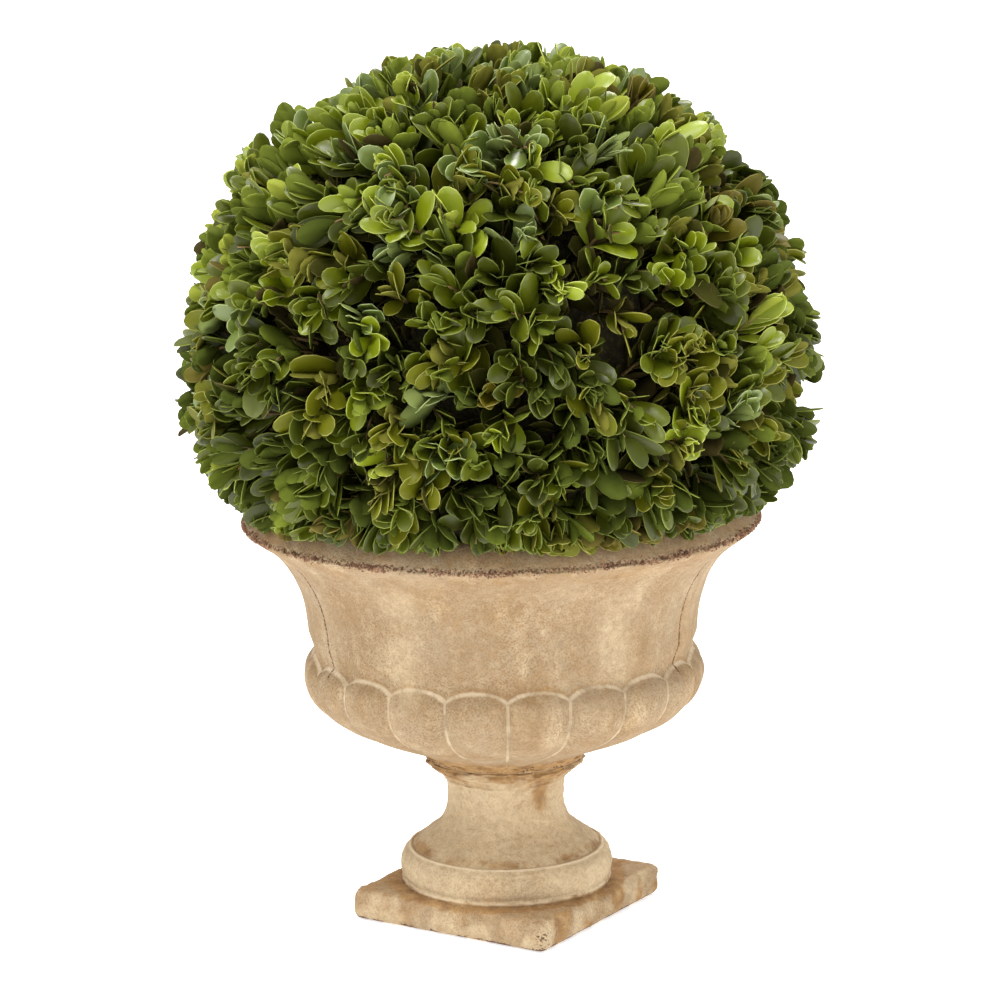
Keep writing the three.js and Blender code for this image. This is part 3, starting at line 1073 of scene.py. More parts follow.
@dataclass
class Pedestal:
    """Square plinth with a turned torus, neck and collar on it, cast in one."""

    height: float
    side: float = 99.8
    plinth_height: float = 14.0
    corner_radius: float = 4.6
    edge_radius: float = 1.6
    torus_radius: float = 45.0
    torus_belly: Point = (47.6, 19.5)
    torus_shoulder: Point = (46.4, 26.8)
    torus_edge: Point = (42.4, 29.4)
    bead: float = 0.7
    cavetto_handle: Point = (34.2, 37.1)
    neck_handle_low: float = 37.9
    neck_radius: float = 25.3
    neck_height: float = 52.0
    neck_handle_high: float = 66.6
    collar_handle: Point = (31.2, 63.0)
    collar_radius: float = 34.0
    collar_height: float = 68.0
    columns: int = 240
    fine: float = 1.0
    core_radius: float = 20.0
    line_height: float = 61.5
    line_rise: float = 0.6
    collar_relief: float = 0.5
    voxel: float = 1.2
    wear_reach: float = 3.0
    chip_depth: float = 1.6

    def outline(self) -> Outline:
        """Draws the turned part from inside the plinth up to the collar's top."""
        fine, foot = self.fine, self.plinth_height
        torus, neck = self.torus_radius, self.neck_radius
        edge_radius, edge_height = self.torus_edge
        bead_top = edge_height + self.bead
        outline = Outline(0, foot / 2).to(10, (torus + 0.6, foot / 2))
        outline.to(fine, (torus + 0.8, foot + 0.2))
        outline.to(
            fine / 2, (torus + 1.2, foot + 1.0), (torus + 1.0, foot + 1.8),
            (torus + 0.2, foot + 2.8),
        )
        outline.to(
            fine, self.torus_belly, self.torus_shoulder, (edge_radius + 0.5, edge_height - 0.6)
        )
        outline.to(
            fine / 2, (edge_radius + 0.5, bead_top), (edge_radius - 1.0, bead_top),
            (edge_radius - 1.1, edge_height),
        )
        outline.to(
            fine, self.cavetto_handle, (neck, self.neck_handle_low), (neck, self.neck_height)
        )
        outline.to(
            fine / 1.5, (neck, self.neck_handle_high), self.collar_handle,
            (self.collar_radius, self.collar_height),
        )
        return outline.to(fine / 2, (self.collar_radius, self.height)).to(8, (0, self.height))

    def build_turned(self) -> bpy.types.Object:
        """Builds the torus, the neck and the collar."""
        piece = turn_piece(self.outline(), self.columns, "pedestal_turned")
        points = read_points(piece)
        radius, angle, height = polar(points)
        outside = (height < self.height - 0.1) & (height > self.plinth_height)
        outside &= radius > self.core_radius
        near_collar = bell(height - self.collar_height, 5) * outside
        ledges = lumps(points, 11, seed=12, flatness=7)
        rough = 0.14 * lumps(points, 18, seed=11) + 0.12 * lumps(points, 4.5, seed=14)
        radius = radius + outside * rough + near_collar * self.collar_relief * ledges
        wander = 0.3 * lumps(points, 20, seed=13)
        fine_line = bell(height - self.line_height - wander, 0.6) * outside
        settle(piece, from_polar(radius + self.line_rise * fine_line, angle, height))
        return piece

    def build_plinth(self) -> bpy.types.Object:
        """Builds the plinth, rounded at every edge and once more round its top."""
        start_fresh()
        bpy.ops.mesh.primitive_cube_add(size=1, location=(0, 0, self.plinth_height / 2 * MM))
        piece = bpy.context.object
        piece.name = "plinth"
        piece.scale = (self.side * MM, self.side * MM, self.plinth_height * MM)
        bpy.ops.object.transform_apply(location=True, rotation=True, scale=True)
        near_top = (self.plinth_height - 0.01) * MM
        bevel_edges(piece, lambda start, end: True, self.corner_radius, 8)
        bevel_edges(piece, lambda start, end: min(start.z, end.z) > near_top, self.edge_radius, 3)
        remesh = piece.modifiers.new("even_faces", "REMESH")
        remesh.mode = "VOXEL"
        remesh.voxel_size = self.voxel * MM
        bpy.ops.object.modifier_apply(modifier=remesh.name)
        self.weather_plinth(piece)
        return piece

    def weather_plinth(self, piece: bpy.types.Object) -> None:
        """Wears the plinth's edges and sides, and keeps its underside flat.

        Args:
            piece: The plinth.
        """
        points = read_points(piece)
        half = self.side / 2
        inner = half - self.corner_radius
        flat = np.abs(points[:, :2])
        over = np.maximum(flat - inner, 0)
        reach = np.minimum(flat.max(axis=1), inner) + np.hypot(*over.T)
        to_side = np.clip(half - reach, 0, None)
        to_top = np.clip(self.plinth_height - points[:, 2], 0, None)
        near_edge = bell(to_side, self.wear_reach) * bell(to_top, self.wear_reach)
        chips = patches(points, 7, seed=21, middle=-0.9, swing=1, limits=(0, 1))
        chips = self.chip_depth * chips * near_edge
        outward = points[:, :2] / np.linalg.norm(points[:, :2], axis=1, keepdims=True).clip(1)
        push = 0.22 * lumps(points, 12, seed=22) + 0.14 * lumps(points, 4, seed=23) - chips
        push = push * ramp(points[:, 2], 0, 2)
        points[:, :2] += outward * (push * bell(to_side, 5))[:, None]
        points[:, 2] += push * bell(to_top, 3) * 0.7
        settle(piece, points)

    def build(self, finish: UrnFinish) -> bpy.types.Object:
        """Builds the pedestal.

        Args:
            finish: Finish of the urn.

        Returns:
            The finished piece.
        """
        piece, plinth = self.build_turned(), self.build_plinth()
        start_fresh()
        plinth.select_set(True)
        piece.select_set(True)
        bpy.context.view_layer.objects.active = piece
        bpy.ops.object.join()
        piece.name = piece.data.name = "urn_pedestal_cast"
        self.mark(piece)
        return dress(piece, [finish.build()], "urn_pedestal")

    def mark(self, piece: bpy.types.Object) -> None:
        """Says where the pedestal has stains, bloom, painted light, wear, layers and crumbs.

        Args:
            piece: The pedestal.
        """
        points = read_points(piece)
        radius, angle, height = polar(points)
        torus, top = self.torus_radius, self.plinth_height
        edge_radius, edge_height = self.torus_edge
        on_turned = (radius < torus + 1) | (height > top + 2)
        on_top = (height > top - 1) & ~on_turned
        on_side = (height < top - 0.5) & ~on_turned

        patchy = patches(points, 26, seed=31, middle=0.7, swing=0.35, limits=(0.1, 1.2))
        groove = bell(radius - torus - 3.4, 3.0) * bell(height - top, 1.8)
        above_bead = bell(height - edge_height - 1.6, 2.2) * bell(radius - edge_radius + 3, 3)
        near_collar = bell(height - self.collar_height, 6)
        clean_face = np.abs(points[:, 1]) > np.abs(points[:, 0])
        tall = points * (1, 1, 0.3)
        side_stain = on_side * patches(tall, 11, seed=32, middle=0.1, swing=1, limits=(0, 1))
        side_stain = side_stain * np.where(clean_face, 0.4, 1.5)
        blotches = 0.45 * lumps(points, 14, seed=35) + 0.35 * lumps(points, 5, seed=36)
        blotches = np.clip(blotches, 0, 1)
        drips = beside(angle, radius, DRIP_SIDES, 4.5) * bell(height - 56, 7) * on_turned
        stain = 1.6 * groove + (0.9 * above_bead + near_collar + 0.4 * on_top) * patchy
        stain = stain + 0.75 * side_stain + 0.24 * blotches + 1.1 * drips

        powder_and_painted_light = beside(angle, radius, POWDER_SIDES, 9) * bell(height - 48, 15)
        # A paler band round the torus at these sides is painted light
        powder_and_painted_light = powder_and_painted_light + 1.1 * beside(angle, radius, PAINTED_LIGHT_SIDES, 16) * bell(height - 24, 12)
        powder_and_painted_light = powder_and_painted_light + np.where(height < self.torus_shoulder[1], 0.42, 0.62)
        face = patches(points, 20, seed=37, middle=0.2, swing=0.8, limits=(0, 0.5)) * on_side
        bead = bell(height - edge_height - 0.3, 0.6) * bell(radius - edge_radius, 1.6)
        foot_bead = bell(height - top - 1.3, 0.9) * bell(radius - torus - 0.5, 1)
        strata = bell(height - self.height - 1, 3.5) + 0.5 * bell(height - self.line_height, 0.8)
        low_edge = patches(points, 8, seed=34, middle=0.9, swing=0.5, limits=(0.2, 1.1))
        low_edge = low_edge * bell(height - 0.2, 2.0)
        corner = np.array((math.cos(KNOCKED_SIDE), math.sin(KNOCKED_SIDE))) * self.side * 0.68
        knock = bell(np.hypot(*(points[:, :2] - corner).T), 4) * bell(height - 7, 5)
        write_marks(piece, {
            "stain": stain,
            # Bloom here holds real bloom and the light painted on the torus
            "bloom": powder_and_painted_light * on_turned + face + 0.22,
            "wear": 0.9 * bead + 0.8 * foot_bead,
            "strata": strata * (radius > self.core_radius),
            "crumble": (0.9 * low_edge + 0.55 * knock) * ~on_turned,
        })


@dataclass
class Stem:
    """Short stem that stands on the filling and ends inside the crown."""

    foot_level: float
    height: float
    foot_radius: float = 10.5
    tip_radius: float = 6.5
    lean: float = 0.09
    lean_angle: float = math.radians(200)
    flare: float = 0.42
    flare_height: float = 7.0
    root_count: int = 5
    bark_depth: float = 0.45
    columns: int = 90

    def tip(self) -> np.ndarray:
        """Gives the middle of the stem's tip."""
        shift = self.lean * self.height
        across = shift * math.cos(self.lean_angle), shift * math.sin(self.lean_angle)
        return np.array((*across, self.foot_level + self.height))

    def build(self, finish: BarkFinish) -> bpy.types.Object:
        """Builds the stem with the relief of its bark.

        Args:
            finish: Finish of the bark.

        Returns:
            The finished piece.
        """
        outline = Outline(0, 0).to(3, (self.foot_radius, 0))
        outline.to(0.8, (self.tip_radius, self.height)).to(3, (0, self.height))
        piece = turn_piece(outline, self.columns, "stem_bark")
        radius, angle, height = polar(read_points(piece))
        roots = 0.6 + 0.4 * np.cos(self.root_count * angle)
        radius = radius * (1 + self.flare * roots * np.exp(-height / self.flare_height))
        cracks = -np.abs(lumps(from_polar(radius, angle, height), 4, seed=51, flatness=0.2))
        radius = radius + (radius > self.tip_radius / 2) * self.bark_depth * (cracks + 0.4)
        points = from_polar(radius, angle, height)
        points[:, 0] += math.cos(self.lean_angle) * self.lean * height
        points[:, 1] += math.sin(self.lean_angle) * self.lean * height
        settle(piece, points, self.foot_level)
        return dress(piece, [finish.build()], "stem")


class SeededDraws:
    """Seeded random numbers from 0 to 1, by the same rule as the solids'."""

    def __init__(self, seed: int) -> None:
        """Starts the numbers."""
        self.state = seed

    def next(self) -> float:
        """Gives the next number."""
        self.state = (self.state * 1664525 + 1013904223) % 4294967296
        return self.state / 4294967296

    def scatter(self, size: float) -> float:
        """Gives a number between plus and minus a size."""
        return (self.next() * 2 - 1) * size


@dataclass
class LeafBatch:
    """Many leaves, a row for each.

    Attributes:
        root: Where each leaf starts.
        out: The way it points.
        upper: The way its upper side faces.
        length: Its length.
        width: Its width.
        bend: How far it curls back along its length, in radians.
        fold: How far its halves are folded up.
        tint: Number of its tint.
        plain: Whether it is one of the plainer inner leaves.
    """

    root: np.ndarray
    out: np.ndarray
    upper: np.ndarray
    length: np.ndarray
    width: np.ndarray
    bend: np.ndarray
    fold: np.ndarray
    tint: np.ndarray
    plain: np.ndarray

    def pick(self, rows: np.ndarray) -> "LeafBatch":
        """Gives some of the leaves."""
        return LeafBatch(**{name: column[rows] for name, column in vars(self).items()})


class Blade:
    """Form of a leaf: a thin closed blade, obovate, folded at its midrib and arched."""

    def __init__(self, stations: list[float], across: list[float], margin: float) -> None:
        """Works out the faces of the form.

        Args:
            stations: Shares of the length where the form has points across.
            across: Shares of the half width of the points of the upper side.
            margin: How far the upper side stops short of the margin, in millimetres.
        """
        self.stations = np.array(stations)
        self.across = np.array(across)
        self.below = np.array((-1.0, 0.0, 1.0))
        self.margin = margin
        self.faces: list[tuple[int, ...]] = []
        self.slots: list[int] = []
        self.weave()

    def weave(self) -> None:
        """Lists the faces of the upper side, the underside and the margin."""
        base, tip, first = 0, 1, 2
        rows, wide, narrow = len(self.stations), len(self.across), len(self.below)
        top = [[first + wide * row + k for k in range(wide)] for row in range(rows)]
        start = first + wide * rows
        low = [[start + narrow * row + k for k in range(narrow)] for row in range(rows)]

        def add(slot: int, *face: int) -> None:
            """Adds one face with its material."""
            self.faces.append(face)
            self.slots.append(slot)

        for k in range(wide - 1):
            add(0, base, top[0][k], top[0][k + 1])
            add(0, top[-1][k], tip, top[-1][k + 1])
        for k in range(narrow - 1):
            add(1, base, low[0][k + 1], low[0][k])
            add(1, low[-1][k], low[-1][k + 1], tip)
        for row in range(rows - 1):
            after = row + 1
            for k in range(wide - 1):
                add(0, top[row][k], top[after][k], top[after][k + 1], top[row][k + 1])
            for k in range(narrow - 1):
                add(1, low[row][k], low[row][k + 1], low[after][k + 1], low[after][k])
            add(2, top[row][-1], top[after][-1], low[after][-1], low[row][-1])
            add(2, top[row][0], low[row][0], low[after][0], top[after][0])
        add(2, base, top[0][-1], low[0][-1])
        add(2, base, low[0][0], top[0][0])
        add(2, top[-1][-1], tip, low[-1][-1])
        add(2, top[-1][0], low[-1][0], tip)

    def points(self, leaves: LeafBatch) -> np.ndarray:
        """Places the form for each leaf.

        Args:
            leaves: The leaves.

        Returns:
            Points in millimetres, by leaf and point.
        """
        thickness, edge_thickness, curl, flattest = 0.34, 0.26, 0.16, 0.02
        widest = 0.56
        outline = self.stations**0.75 * (1 - self.stations**2.5) ** 0.6 / widest
        half = leaves.width[:, None] / 2 * outline[None, :]
        along = np.broadcast_to(self.stations, half.shape) * leaves.length[:, None]
        upper_half = np.maximum(half - self.margin, half * 0.5)
        sheets = []
        for shares, reach, drop in (
            (self.across, upper_half, 0.0),
            (self.below, half, thickness),
        ):
            side = reach[:, :, None] * shares
            rise = leaves.fold[:, None, None] * np.abs(side)
            rise = rise - curl * side**2 / (leaves.width[:, None, None] / 2)
            thin = np.where(np.abs(shares) > 0.99, edge_thickness, thickness) if drop else 0.0
            sheet_along = np.broadcast_to(along[:, :, None], side.shape)
            sheets.append(np.stack((sheet_along, side, rise - thin), -1).reshape(len(half), -1, 3))
        ends = np.zeros((len(half), 2, 3))
        ends[:, 1, 0] = leaves.length
        ends[:, :, 2] = -thickness / 2
        local = np.concatenate((ends, *sheets), axis=1)

        bend = np.where(np.abs(leaves.bend) < flattest, flattest, leaves.bend)[:, None]
        arc = bend * local[:, :, 0] / leaves.length[:, None]
        bow = leaves.length[:, None] / bend
        x = bow * np.sin(arc) + local[:, :, 2] * np.sin(arc)
        z = -bow * (1 - np.cos(arc)) + local[:, :, 2] * np.cos(arc)
        across = np.cross(leaves.upper, leaves.out)
        placed = x[:, :, None] * leaves.out[:, None, :]
        placed = placed + local[:, :, 1, None] * across[:, None, :]
        placed = placed + z[:, :, None] * leaves.upper[:, None, :]
        return placed + leaves.root[:, None, :]


FULL_BLADE = Blade([0.07, 0.25, 0.46, 0.67, 0.85, 0.96], [-1, 0, 1], 0.24)
PLAIN_BLADE = Blade([0.1, 0.5, 0.88], [-1, 0, 1], 0.2)


def unit(vectors: np.ndarray) -> np.ndarray:
    """Gives vectors of length 1."""
    return vectors / np.linalg.norm(vectors, axis=-1, keepdims=True)


def arc(start: np.ndarray, handle: np.ndarray, end: np.ndarray, count: int) -> np.ndarray:
    """Draws a curve that one handle pulls.

    Args:
        start: Its start.
        handle: The handle.
        end: Its end.
        count: Number of points.

    Returns:
        The points.
    """
    share = np.linspace(0, 1, count)[:, None]
    return start * (1 - share) ** 2 + handle * 2 * share * (1 - share) + end * share**2


def turned_about(vector: np.ndarray, axis: np.ndarray, angle: float) -> np.ndarray:
    """Turns a vector about an axis.

    Args:
        vector: The vector.
        axis: The axis, of length 1.
        angle: The angle in radians.

    Returns:
        The turned vector.
    """
    cross = np.cross(axis, vector)
    return (
        vector * math.cos(angle) + cross * math.sin(angle)
        + axis * np.dot(axis, vector) * (1 - math.cos(angle))
    )


def tubes(
    paths: np.ndarray, radii: np.ndarray, sides: int
) -> tuple[np.ndarray, list[tuple[int, ...]]]:
    """Lays tapering tubes along paths.

    Args:
        paths: Points in millimetres, by tube and step.
        radii: Radii, by tube and step.
        sides: Number of sides of each tube.

    Returns:
        Points by tube and point, and the faces of one tube.
    """
    ahead = unit(np.gradient(paths, axis=1))
    helper = np.where(np.abs(ahead[:, :1, 2:]) > 0.8, (1.0, 0, 0), (0, 0, 1.0))
    side = unit(np.cross(ahead, np.broadcast_to(helper, ahead.shape)))
    up = np.cross(side, ahead)
    turn = np.arange(sides) * TURN / sides
    ring = (
        side[:, :, None, :] * np.cos(turn)[:, None] + up[:, :, None, :] * np.sin(turn)[:, None]
    )
    points = paths[:, :, None, :] + ring * radii[:, :, None, None]
    steps = paths.shape[1]
    faces = [tuple(range(sides)), tuple(sides * (steps - 1) + k for k in reversed(range(sides)))]
    for step in range(steps - 1):
        for k in range(sides):
            after = (k + 1) % sides
            low, high = sides * step, sides * (step + 1)
            faces.append((low + after, low + k, high + k, high + after))
    return points.reshape(len(paths), -1, 3), faces


@dataclass(frozen=True)
class Dome:
    """Closed dome about its heart, with a rounder top and a flatter underside.

    Attributes:
        radius: Its radius.
        rise: Its height above the heart.
        drop: Its depth below the heart.
        upper_power: How square its upper part is.
        lower_power: How square its lower part is.
    """

    radius: float
    rise: float
    drop: float
    upper_power: float
    lower_power: float

    def share(self, points: np.ndarray, inset: float = 0.0) -> np.ndarray:
        """Gives the share of the way from the heart to the outline.

        Args:
            points: Points from the heart.
            inset: How far the outline is first drawn in.

        Returns:
            A number for each point, 1 on the outline.
        """
        low = points[..., 2] < 0
        power = np.where(low, self.lower_power, self.upper_power)
        across = np.hypot(points[..., 0], points[..., 1]) / (self.radius - inset)
        along = np.abs(points[..., 2]) / (np.where(low, self.drop, self.rise) - inset)
        return (across**power + along**power) ** (1 / power)

    def normal(self, point: np.ndarray) -> np.ndarray:
        """Gives the outward normal of the outline in a direction from the heart."""
        step = 0.01
        moved = point[None, :] + np.eye(3) * step
        return unit(self.share(moved) - self.share(point))


@dataclass
class ClippedCrown:
    """Clipped ball of box: boughs, twigs and leaves on an inner ball.

    The boughs follow the rule of the solids' sprigs, and each forks into finer twigs.
    """

    heart_level: float
    stem_tip: np.ndarray
    lip_level: float
    lip_radius: float
    lip_radius_at: Callable[[np.ndarray], np.ndarray]
    mouth_radius: float
    sprig_dome: Dome = Dome(135.5, 149.5, 49.0, 2.45, 3.4)
    core_dome: Dome = Dome(116.5, 130.5, 39.3, 2.45, 5.0)
    clipped_dome: Dome = Dome(138.5, 151.0, 66.0, 2.45, 2.45)
    moss_dome: Dome = Dome(98.0, 111.0, 60.0, 2.45, 5.0)
    bough_count: int = 96
    crowding: float = 1.1
    lowest_slope: float = -0.33
    sunk: float = 9.0
    normal_share: float = 0.55
    scatter: float = 0.3
    seed: int = 1873
    leaf_draws: int = 15
    fork_depth: float = 26.0
    bough_reach: float = 18.0
    twigs_each: int = 8
    skirt_twigs: int = 8
    skirt_count: int = 64
    unevenness: float = 8.0
    ragged: float = 0.017
    fan: float = 23.0
    twig_lean: float = 5.5
    comb: float = 0.85
    comb_size: float = 80.0
    comb_down: float = 0.45
    tip_depth: float = 4.0
    dip: float = 5.0
    droop: float = 5.0
    tip_scatter: float = 9.0
    bough_steps: int = 7
    twig_steps: int = 9
    bough_pull: float = 18.0
    low_droop: float = 2.2
    tip_power: float = 1.4
    dip_size: float = 62.0
    belly_along: float = 0.42
    belly_aside: float = 0.72
    comb_along: float = 0.55
    comb_share: float = 0.6
    skirt_root: Point = (82.0, 24.0)
    skirt_belly: float = 99.0
    skirt_belly_rise: Pair = (13.0, 20.0)
    skirt_reach: Pair = (-8.0, 3.0)
    skirt_clearance: Pair = (0.5, 6.5)
    skirt_swing: float = 0.45
    skirt_scatter: float = 4.0
    lead_scatter: float = 0.2
    leaf_length: float = 18.5
    leaf_share: float = 0.46
    vigour: Pair = (0.84, 1.16)
    turn_scatter: float = 0.55
    spread_scatter: float = 13.0
    roll_scatter: float = 0.85
    size_scatter: float = 0.14
    width_scatter: float = 0.09
    bend: Pair = (0.1, 0.3)
    fold: Pair = (0.0, 0.5)
    worn_share: float = 0.025
    stations: tuple[float, ...] = (1.0, 4.8, 9.2, 14.2, 19.6, 25.6, 32.0, 39.0)
    sizes: tuple[float, ...] = (0.84, 0.94, 1.02, 1.04, 1.03, 1.0, 0.96, 0.9)
    spreads: tuple[float, ...] = (14, 18, 22, 26, 29, 32, 35, 38)
    inner_pairs: int = 3
    draws: np.random.Generator = field(default_factory=lambda: np.random.default_rng(61))

    def boughs(self) -> list[tuple[np.ndarray, np.ndarray, np.ndarray]]:
        """Works out where each bough runs, by the rule of the solids' sprigs.

        Returns:
            For each bough its fork, the middle of its twigs' tips, and its direction.
        """
        draws = SeededDraws(self.seed)
        found = []
        for i in range(self.bough_count):
            share = ((i + 0.5) / self.bough_count) ** self.crowding
            slope = 1 - share * (1 - self.lowest_slope)
            level = math.sqrt(1 - slope * slope)
            turn = i * GOLDEN_ANGLE
            radial = np.array((level * math.cos(turn), level * math.sin(turn), slope))
            outward = self.sprig_dome.normal(radial)
            along = radial * (1 - self.normal_share) + outward * self.normal_share
            along = unit(along + np.array([draws.scatter(self.scatter) for _ in range(3)]))
            root = radial * (1 / self.core_dome.share(radial) - self.sunk)
            for _ in range(self.leaf_draws + 1):
                draws.next()
            found.append((root - along * self.fork_depth, root + along * self.bough_reach, along))
        return found

    def tip_on(self, start: np.ndarray, way: np.ndarray, depth: float) -> np.ndarray:
        """Finds the point at a depth under the outline, from a start in some direction.

        Args:
            start: The start.
            way: The direction.
            depth: Depth under the outline.

        Returns:
            The point, clear of the urn's lip.
        """
        farthest, samples, clearance, hang = 90, 181, 2.5, 6
        points = start + np.linspace(0, farthest, samples)[:, None] * way
        outside = self.clipped_dome.share(points, depth) >= 1
        tip = points[max(int(np.argmax(outside)) - 1, 0)] if outside.any() else points[-1]
        lowest = self.lip_level - self.heart_level + clearance
        over_edge = math.hypot(tip[0], tip[1]) > self.lip_radius + 1
        tip[2] = max(tip[2], lowest - hang * over_edge)
        return tip

    def grow(self) -> tuple[np.ndarray, np.ndarray, LeafBatch]:
        """Grows the boughs, the twigs and the leaves.

        Returns:
            Paths of the boughs and of the twigs, and the leaves, all from the heart.
        """
        start = self.stem_tip - np.array((0, 0, self.heart_level))
        bough_paths, twig_paths, rows = [], [], []
        for fork, middle, along in self.boughs():
            handle = start * 0.5 + (fork - along * self.bough_pull) * 0.5
            bough_paths.append(arc(start, handle, fork, self.bough_steps))
            side = unit(np.cross(along, BOUGH_HELPER))
            first = self.draws.uniform(0, TURN)
            low = max(-fork[2] / self.core_dome.drop, 0.0)
            sunk = self.unevenness * self.draws.uniform()
            for twig in range(self.twigs_each + round(self.skirt_twigs * low)):
                reach = self.fan * math.sqrt((twig + 0.5) / self.twigs_each)
                aside = turned_about(side, along, first + twig * GOLDEN_ANGLE) * reach
                target = middle + aside + self.draws.normal(0, self.twig_lean, 3)
                target[2] -= self.droop * (1 + self.low_droop * low)
                way = unit(target - fork)
                [dips] = patches(
                    target[None], self.dip_size, seed=81, middle=0.3, swing=1, limits=(0, 1.6)
                )
                depth = self.tip_depth + sunk
                depth += self.tip_scatter * self.draws.uniform() ** self.tip_power
                tip = self.tip_on(fork, way, depth + self.dip * dips)
                length = np.linalg.norm(tip - fork)
                belly = fork + along * length * self.belly_along + aside * self.belly_aside
                combed = tip - self.lead(tip) * length * self.comb_along
                belly = belly * (1 - self.comb_share) + combed * self.comb_share
                twig_paths.append(arc(fork, belly, tip, self.twig_steps))
                rows.extend(self.spray(twig_paths[-1], self.tint_at(tip)))
        for path in self.skirt():
            twig_paths.append(path)
            rows.extend(self.spray(path, self.tint_at(path[-1])))
        leaves = LeafBatch(*(np.array(column) for column in zip(*rows)))
        return np.array(bough_paths), np.array(twig_paths), leaves

    def skirt(self) -> list[np.ndarray]:
        """Grows the twigs that leave the foot of the inner ball and hang over the lip.

        Returns:
            Points of each twig, from the heart.
        """
        level = self.lip_level - self.heart_level
        paths = []
        for number in range(self.skirt_count):
            swing = self.draws.uniform(-self.skirt_swing, self.skirt_swing)
            turn = (number + swing) * TURN / self.skirt_count
            away = np.array((math.cos(turn), math.sin(turn), 0.0))
            fork = away * self.skirt_root[0] + np.array((0, 0, level + self.skirt_root[1]))
            tip = away * (self.lip_radius + self.draws.uniform(*self.skirt_reach))
            tip[2] = level + self.draws.uniform(*self.skirt_clearance)
            belly = away * self.skirt_belly
            belly[2] = level + self.draws.uniform(*self.skirt_belly_rise)
            belly = belly + self.draws.normal(0, self.skirt_scatter, 3)
            paths.append(arc(fork, belly, tip, self.twig_steps))
        return paths

    def tint_at(self, tip: np.ndarray) -> int:
        """Deals out a spray's tint, paler on top and deeper low and aside: painted light and shade.

        Args:
            tip: Tip of the spray's twig, from the heart.

        Returns:
            Number of the tint.
        """
        middle, side_shading, shaded_side = 0.75, 0.7, FRONT + math.pi / 2
        # Higher sprays take paler tints as painted light, lower ones deeper tints as painted shade
        height = tip[2] / self.clipped_dome.rise * 2 - middle
        shaded_way = np.array((math.cos(shaded_side), math.sin(shaded_side)))
        # The side a quarter turn round from the front takes deeper tints as painted shade
        height -= side_shading * max(float(tip[:2] @ shaded_way) / self.clipped_dome.radius, 0)
        weights = np.array([tint.value[0] * math.exp(tint.value[1] * height) for tint in Tint])
        return int(self.draws.choice(len(weights), p=weights / weights.sum()))

    def lead(self, tip: np.ndarray) -> np.ndarray:
        """Gives the way a twig ends: outward, and combed aside like its neighbours.

        Args:
            tip: Tip of the twig, from the heart.

        Returns:
            The direction.
        """
        normal = self.clipped_dome.normal(tip)
        aside = np.array([lumps(tip[None], self.comb_size, seed)[0] for seed in (91, 92, 93)])
        aside[2] -= self.comb_down
        aside = aside - normal * np.dot(aside, normal)
        return unit(normal + self.comb * aside + self.draws.normal(0, self.lead_scatter, 3))

    def spray(self, path: np.ndarray, tint: int) -> list[tuple]:
        """Grows the opposite pairs of leaves along a twig, each turned from the last.

        Args:
            path: Points of the twig from its fork to its tip.
            tint: Number of the spray's tint.

        Returns:
            A row for each leaf, in the order of a batch's columns.
        """
        lengths = np.linalg.norm(np.diff(path, axis=0), axis=1)
        travelled = np.concatenate(([0], np.cumsum(lengths)))
        first = self.draws.uniform(0, math.pi)
        vigour = self.draws.uniform(*self.vigour)
        shade = list(Tint).index(Tint.SHADE)
        shortest, step = 2, 3

        def at(place: float) -> np.ndarray:
            """Gives the point at some length along the twig."""
            return np.array([np.interp(place, travelled, column) for column in path.T])

        rows = []
        for pair, back in enumerate(self.stations):
            place = travelled[-1] - back * vigour
            if place < shortest:
                break
            root = at(place)
            along = unit(root - at(place - step))
            side = unit(np.cross(along, TWIG_HELPER))
            inner = pair >= len(self.stations) - self.inner_pairs
            for half in (0, math.pi):
                turn = first + pair * math.pi / 2 + half + self.draws.normal(0, self.turn_scatter)
                spread = self.spreads[pair] + self.draws.normal(0, self.spread_scatter)
                spread = math.radians(spread)
                away = turned_about(side, along, turn)
                out = along * math.cos(spread) + away * math.sin(spread)
                upper = along * math.sin(spread) - away * math.cos(spread)
                upper = turned_about(upper, out, self.draws.normal(0, self.roll_scatter))
                size = self.sizes[pair] * vigour * (1 + self.draws.normal(0, self.size_scatter))
                length = self.leaf_length * size
                width = length * self.leaf_share * (1 + self.draws.normal(0, self.width_scatter))
                bend = self.draws.normal(*self.bend)
                fold = self.draws.uniform(*self.fold)
                # Inner leaves take the shade tint as painted shade, a few worn ones as their own
                # colour
                worn = inner or self.draws.uniform() < self.worn_share
                dealt = shade if worn else tint
                rows.append((root, out, upper, length, width, bend, fold, dealt, inner))
        return rows

    def fitted(self, leaves: LeafBatch, blade: Blade) -> tuple[LeafBatch, np.ndarray]:
        """Keeps leaves to the crown's space: over the lip they lift, at the outline they shrink.

        Args:
            leaves: The leaves, from the heart.
            blade: Their form.

        Returns:
            The leaves that fit, and their points.
        """
        gap, lifts, outward, upward = 0.8, 9, 0.16, 0.1
        cuts, shorter, narrower, smallest = 5, 0.9, 0.94, 0.62
        points = blade.points(leaves)
        for step in range(lifts):
            clash = self.meets_urn(points, gap).any(axis=1)
            if not clash.any() or step == lifts - 1:
                break
            rows = np.flatnonzero(clash)
            lift = unit(leaves.root[rows] * (1, 1, 0)) * outward + np.array((0, 0, upward))
            leaves.out[rows] = unit(leaves.out[rows] + lift)
            square = np.sum(leaves.upper[rows] * leaves.out[rows], axis=1, keepdims=True)
            leaves.upper[rows] = unit(leaves.upper[rows] - square * leaves.out[rows])
            points[rows] = blade.points(leaves.pick(rows))
        full_length = leaves.length.copy()
        for _ in range(cuts):
            out = self.past_outline(points) & (leaves.length > smallest * full_length)
            if not out.any():
                break
            rows = np.flatnonzero(out)
            leaves.length[rows] *= shorter
            leaves.width[rows] *= narrower
            points[rows] = blade.points(leaves.pick(rows))
        fits = ~self.past_outline(points) & ~self.meets_urn(points, gap).any(axis=1)
        LOG.info("leaves kept: %d of %d", fits.sum(), len(fits))
        return leaves.pick(fits), points[fits]

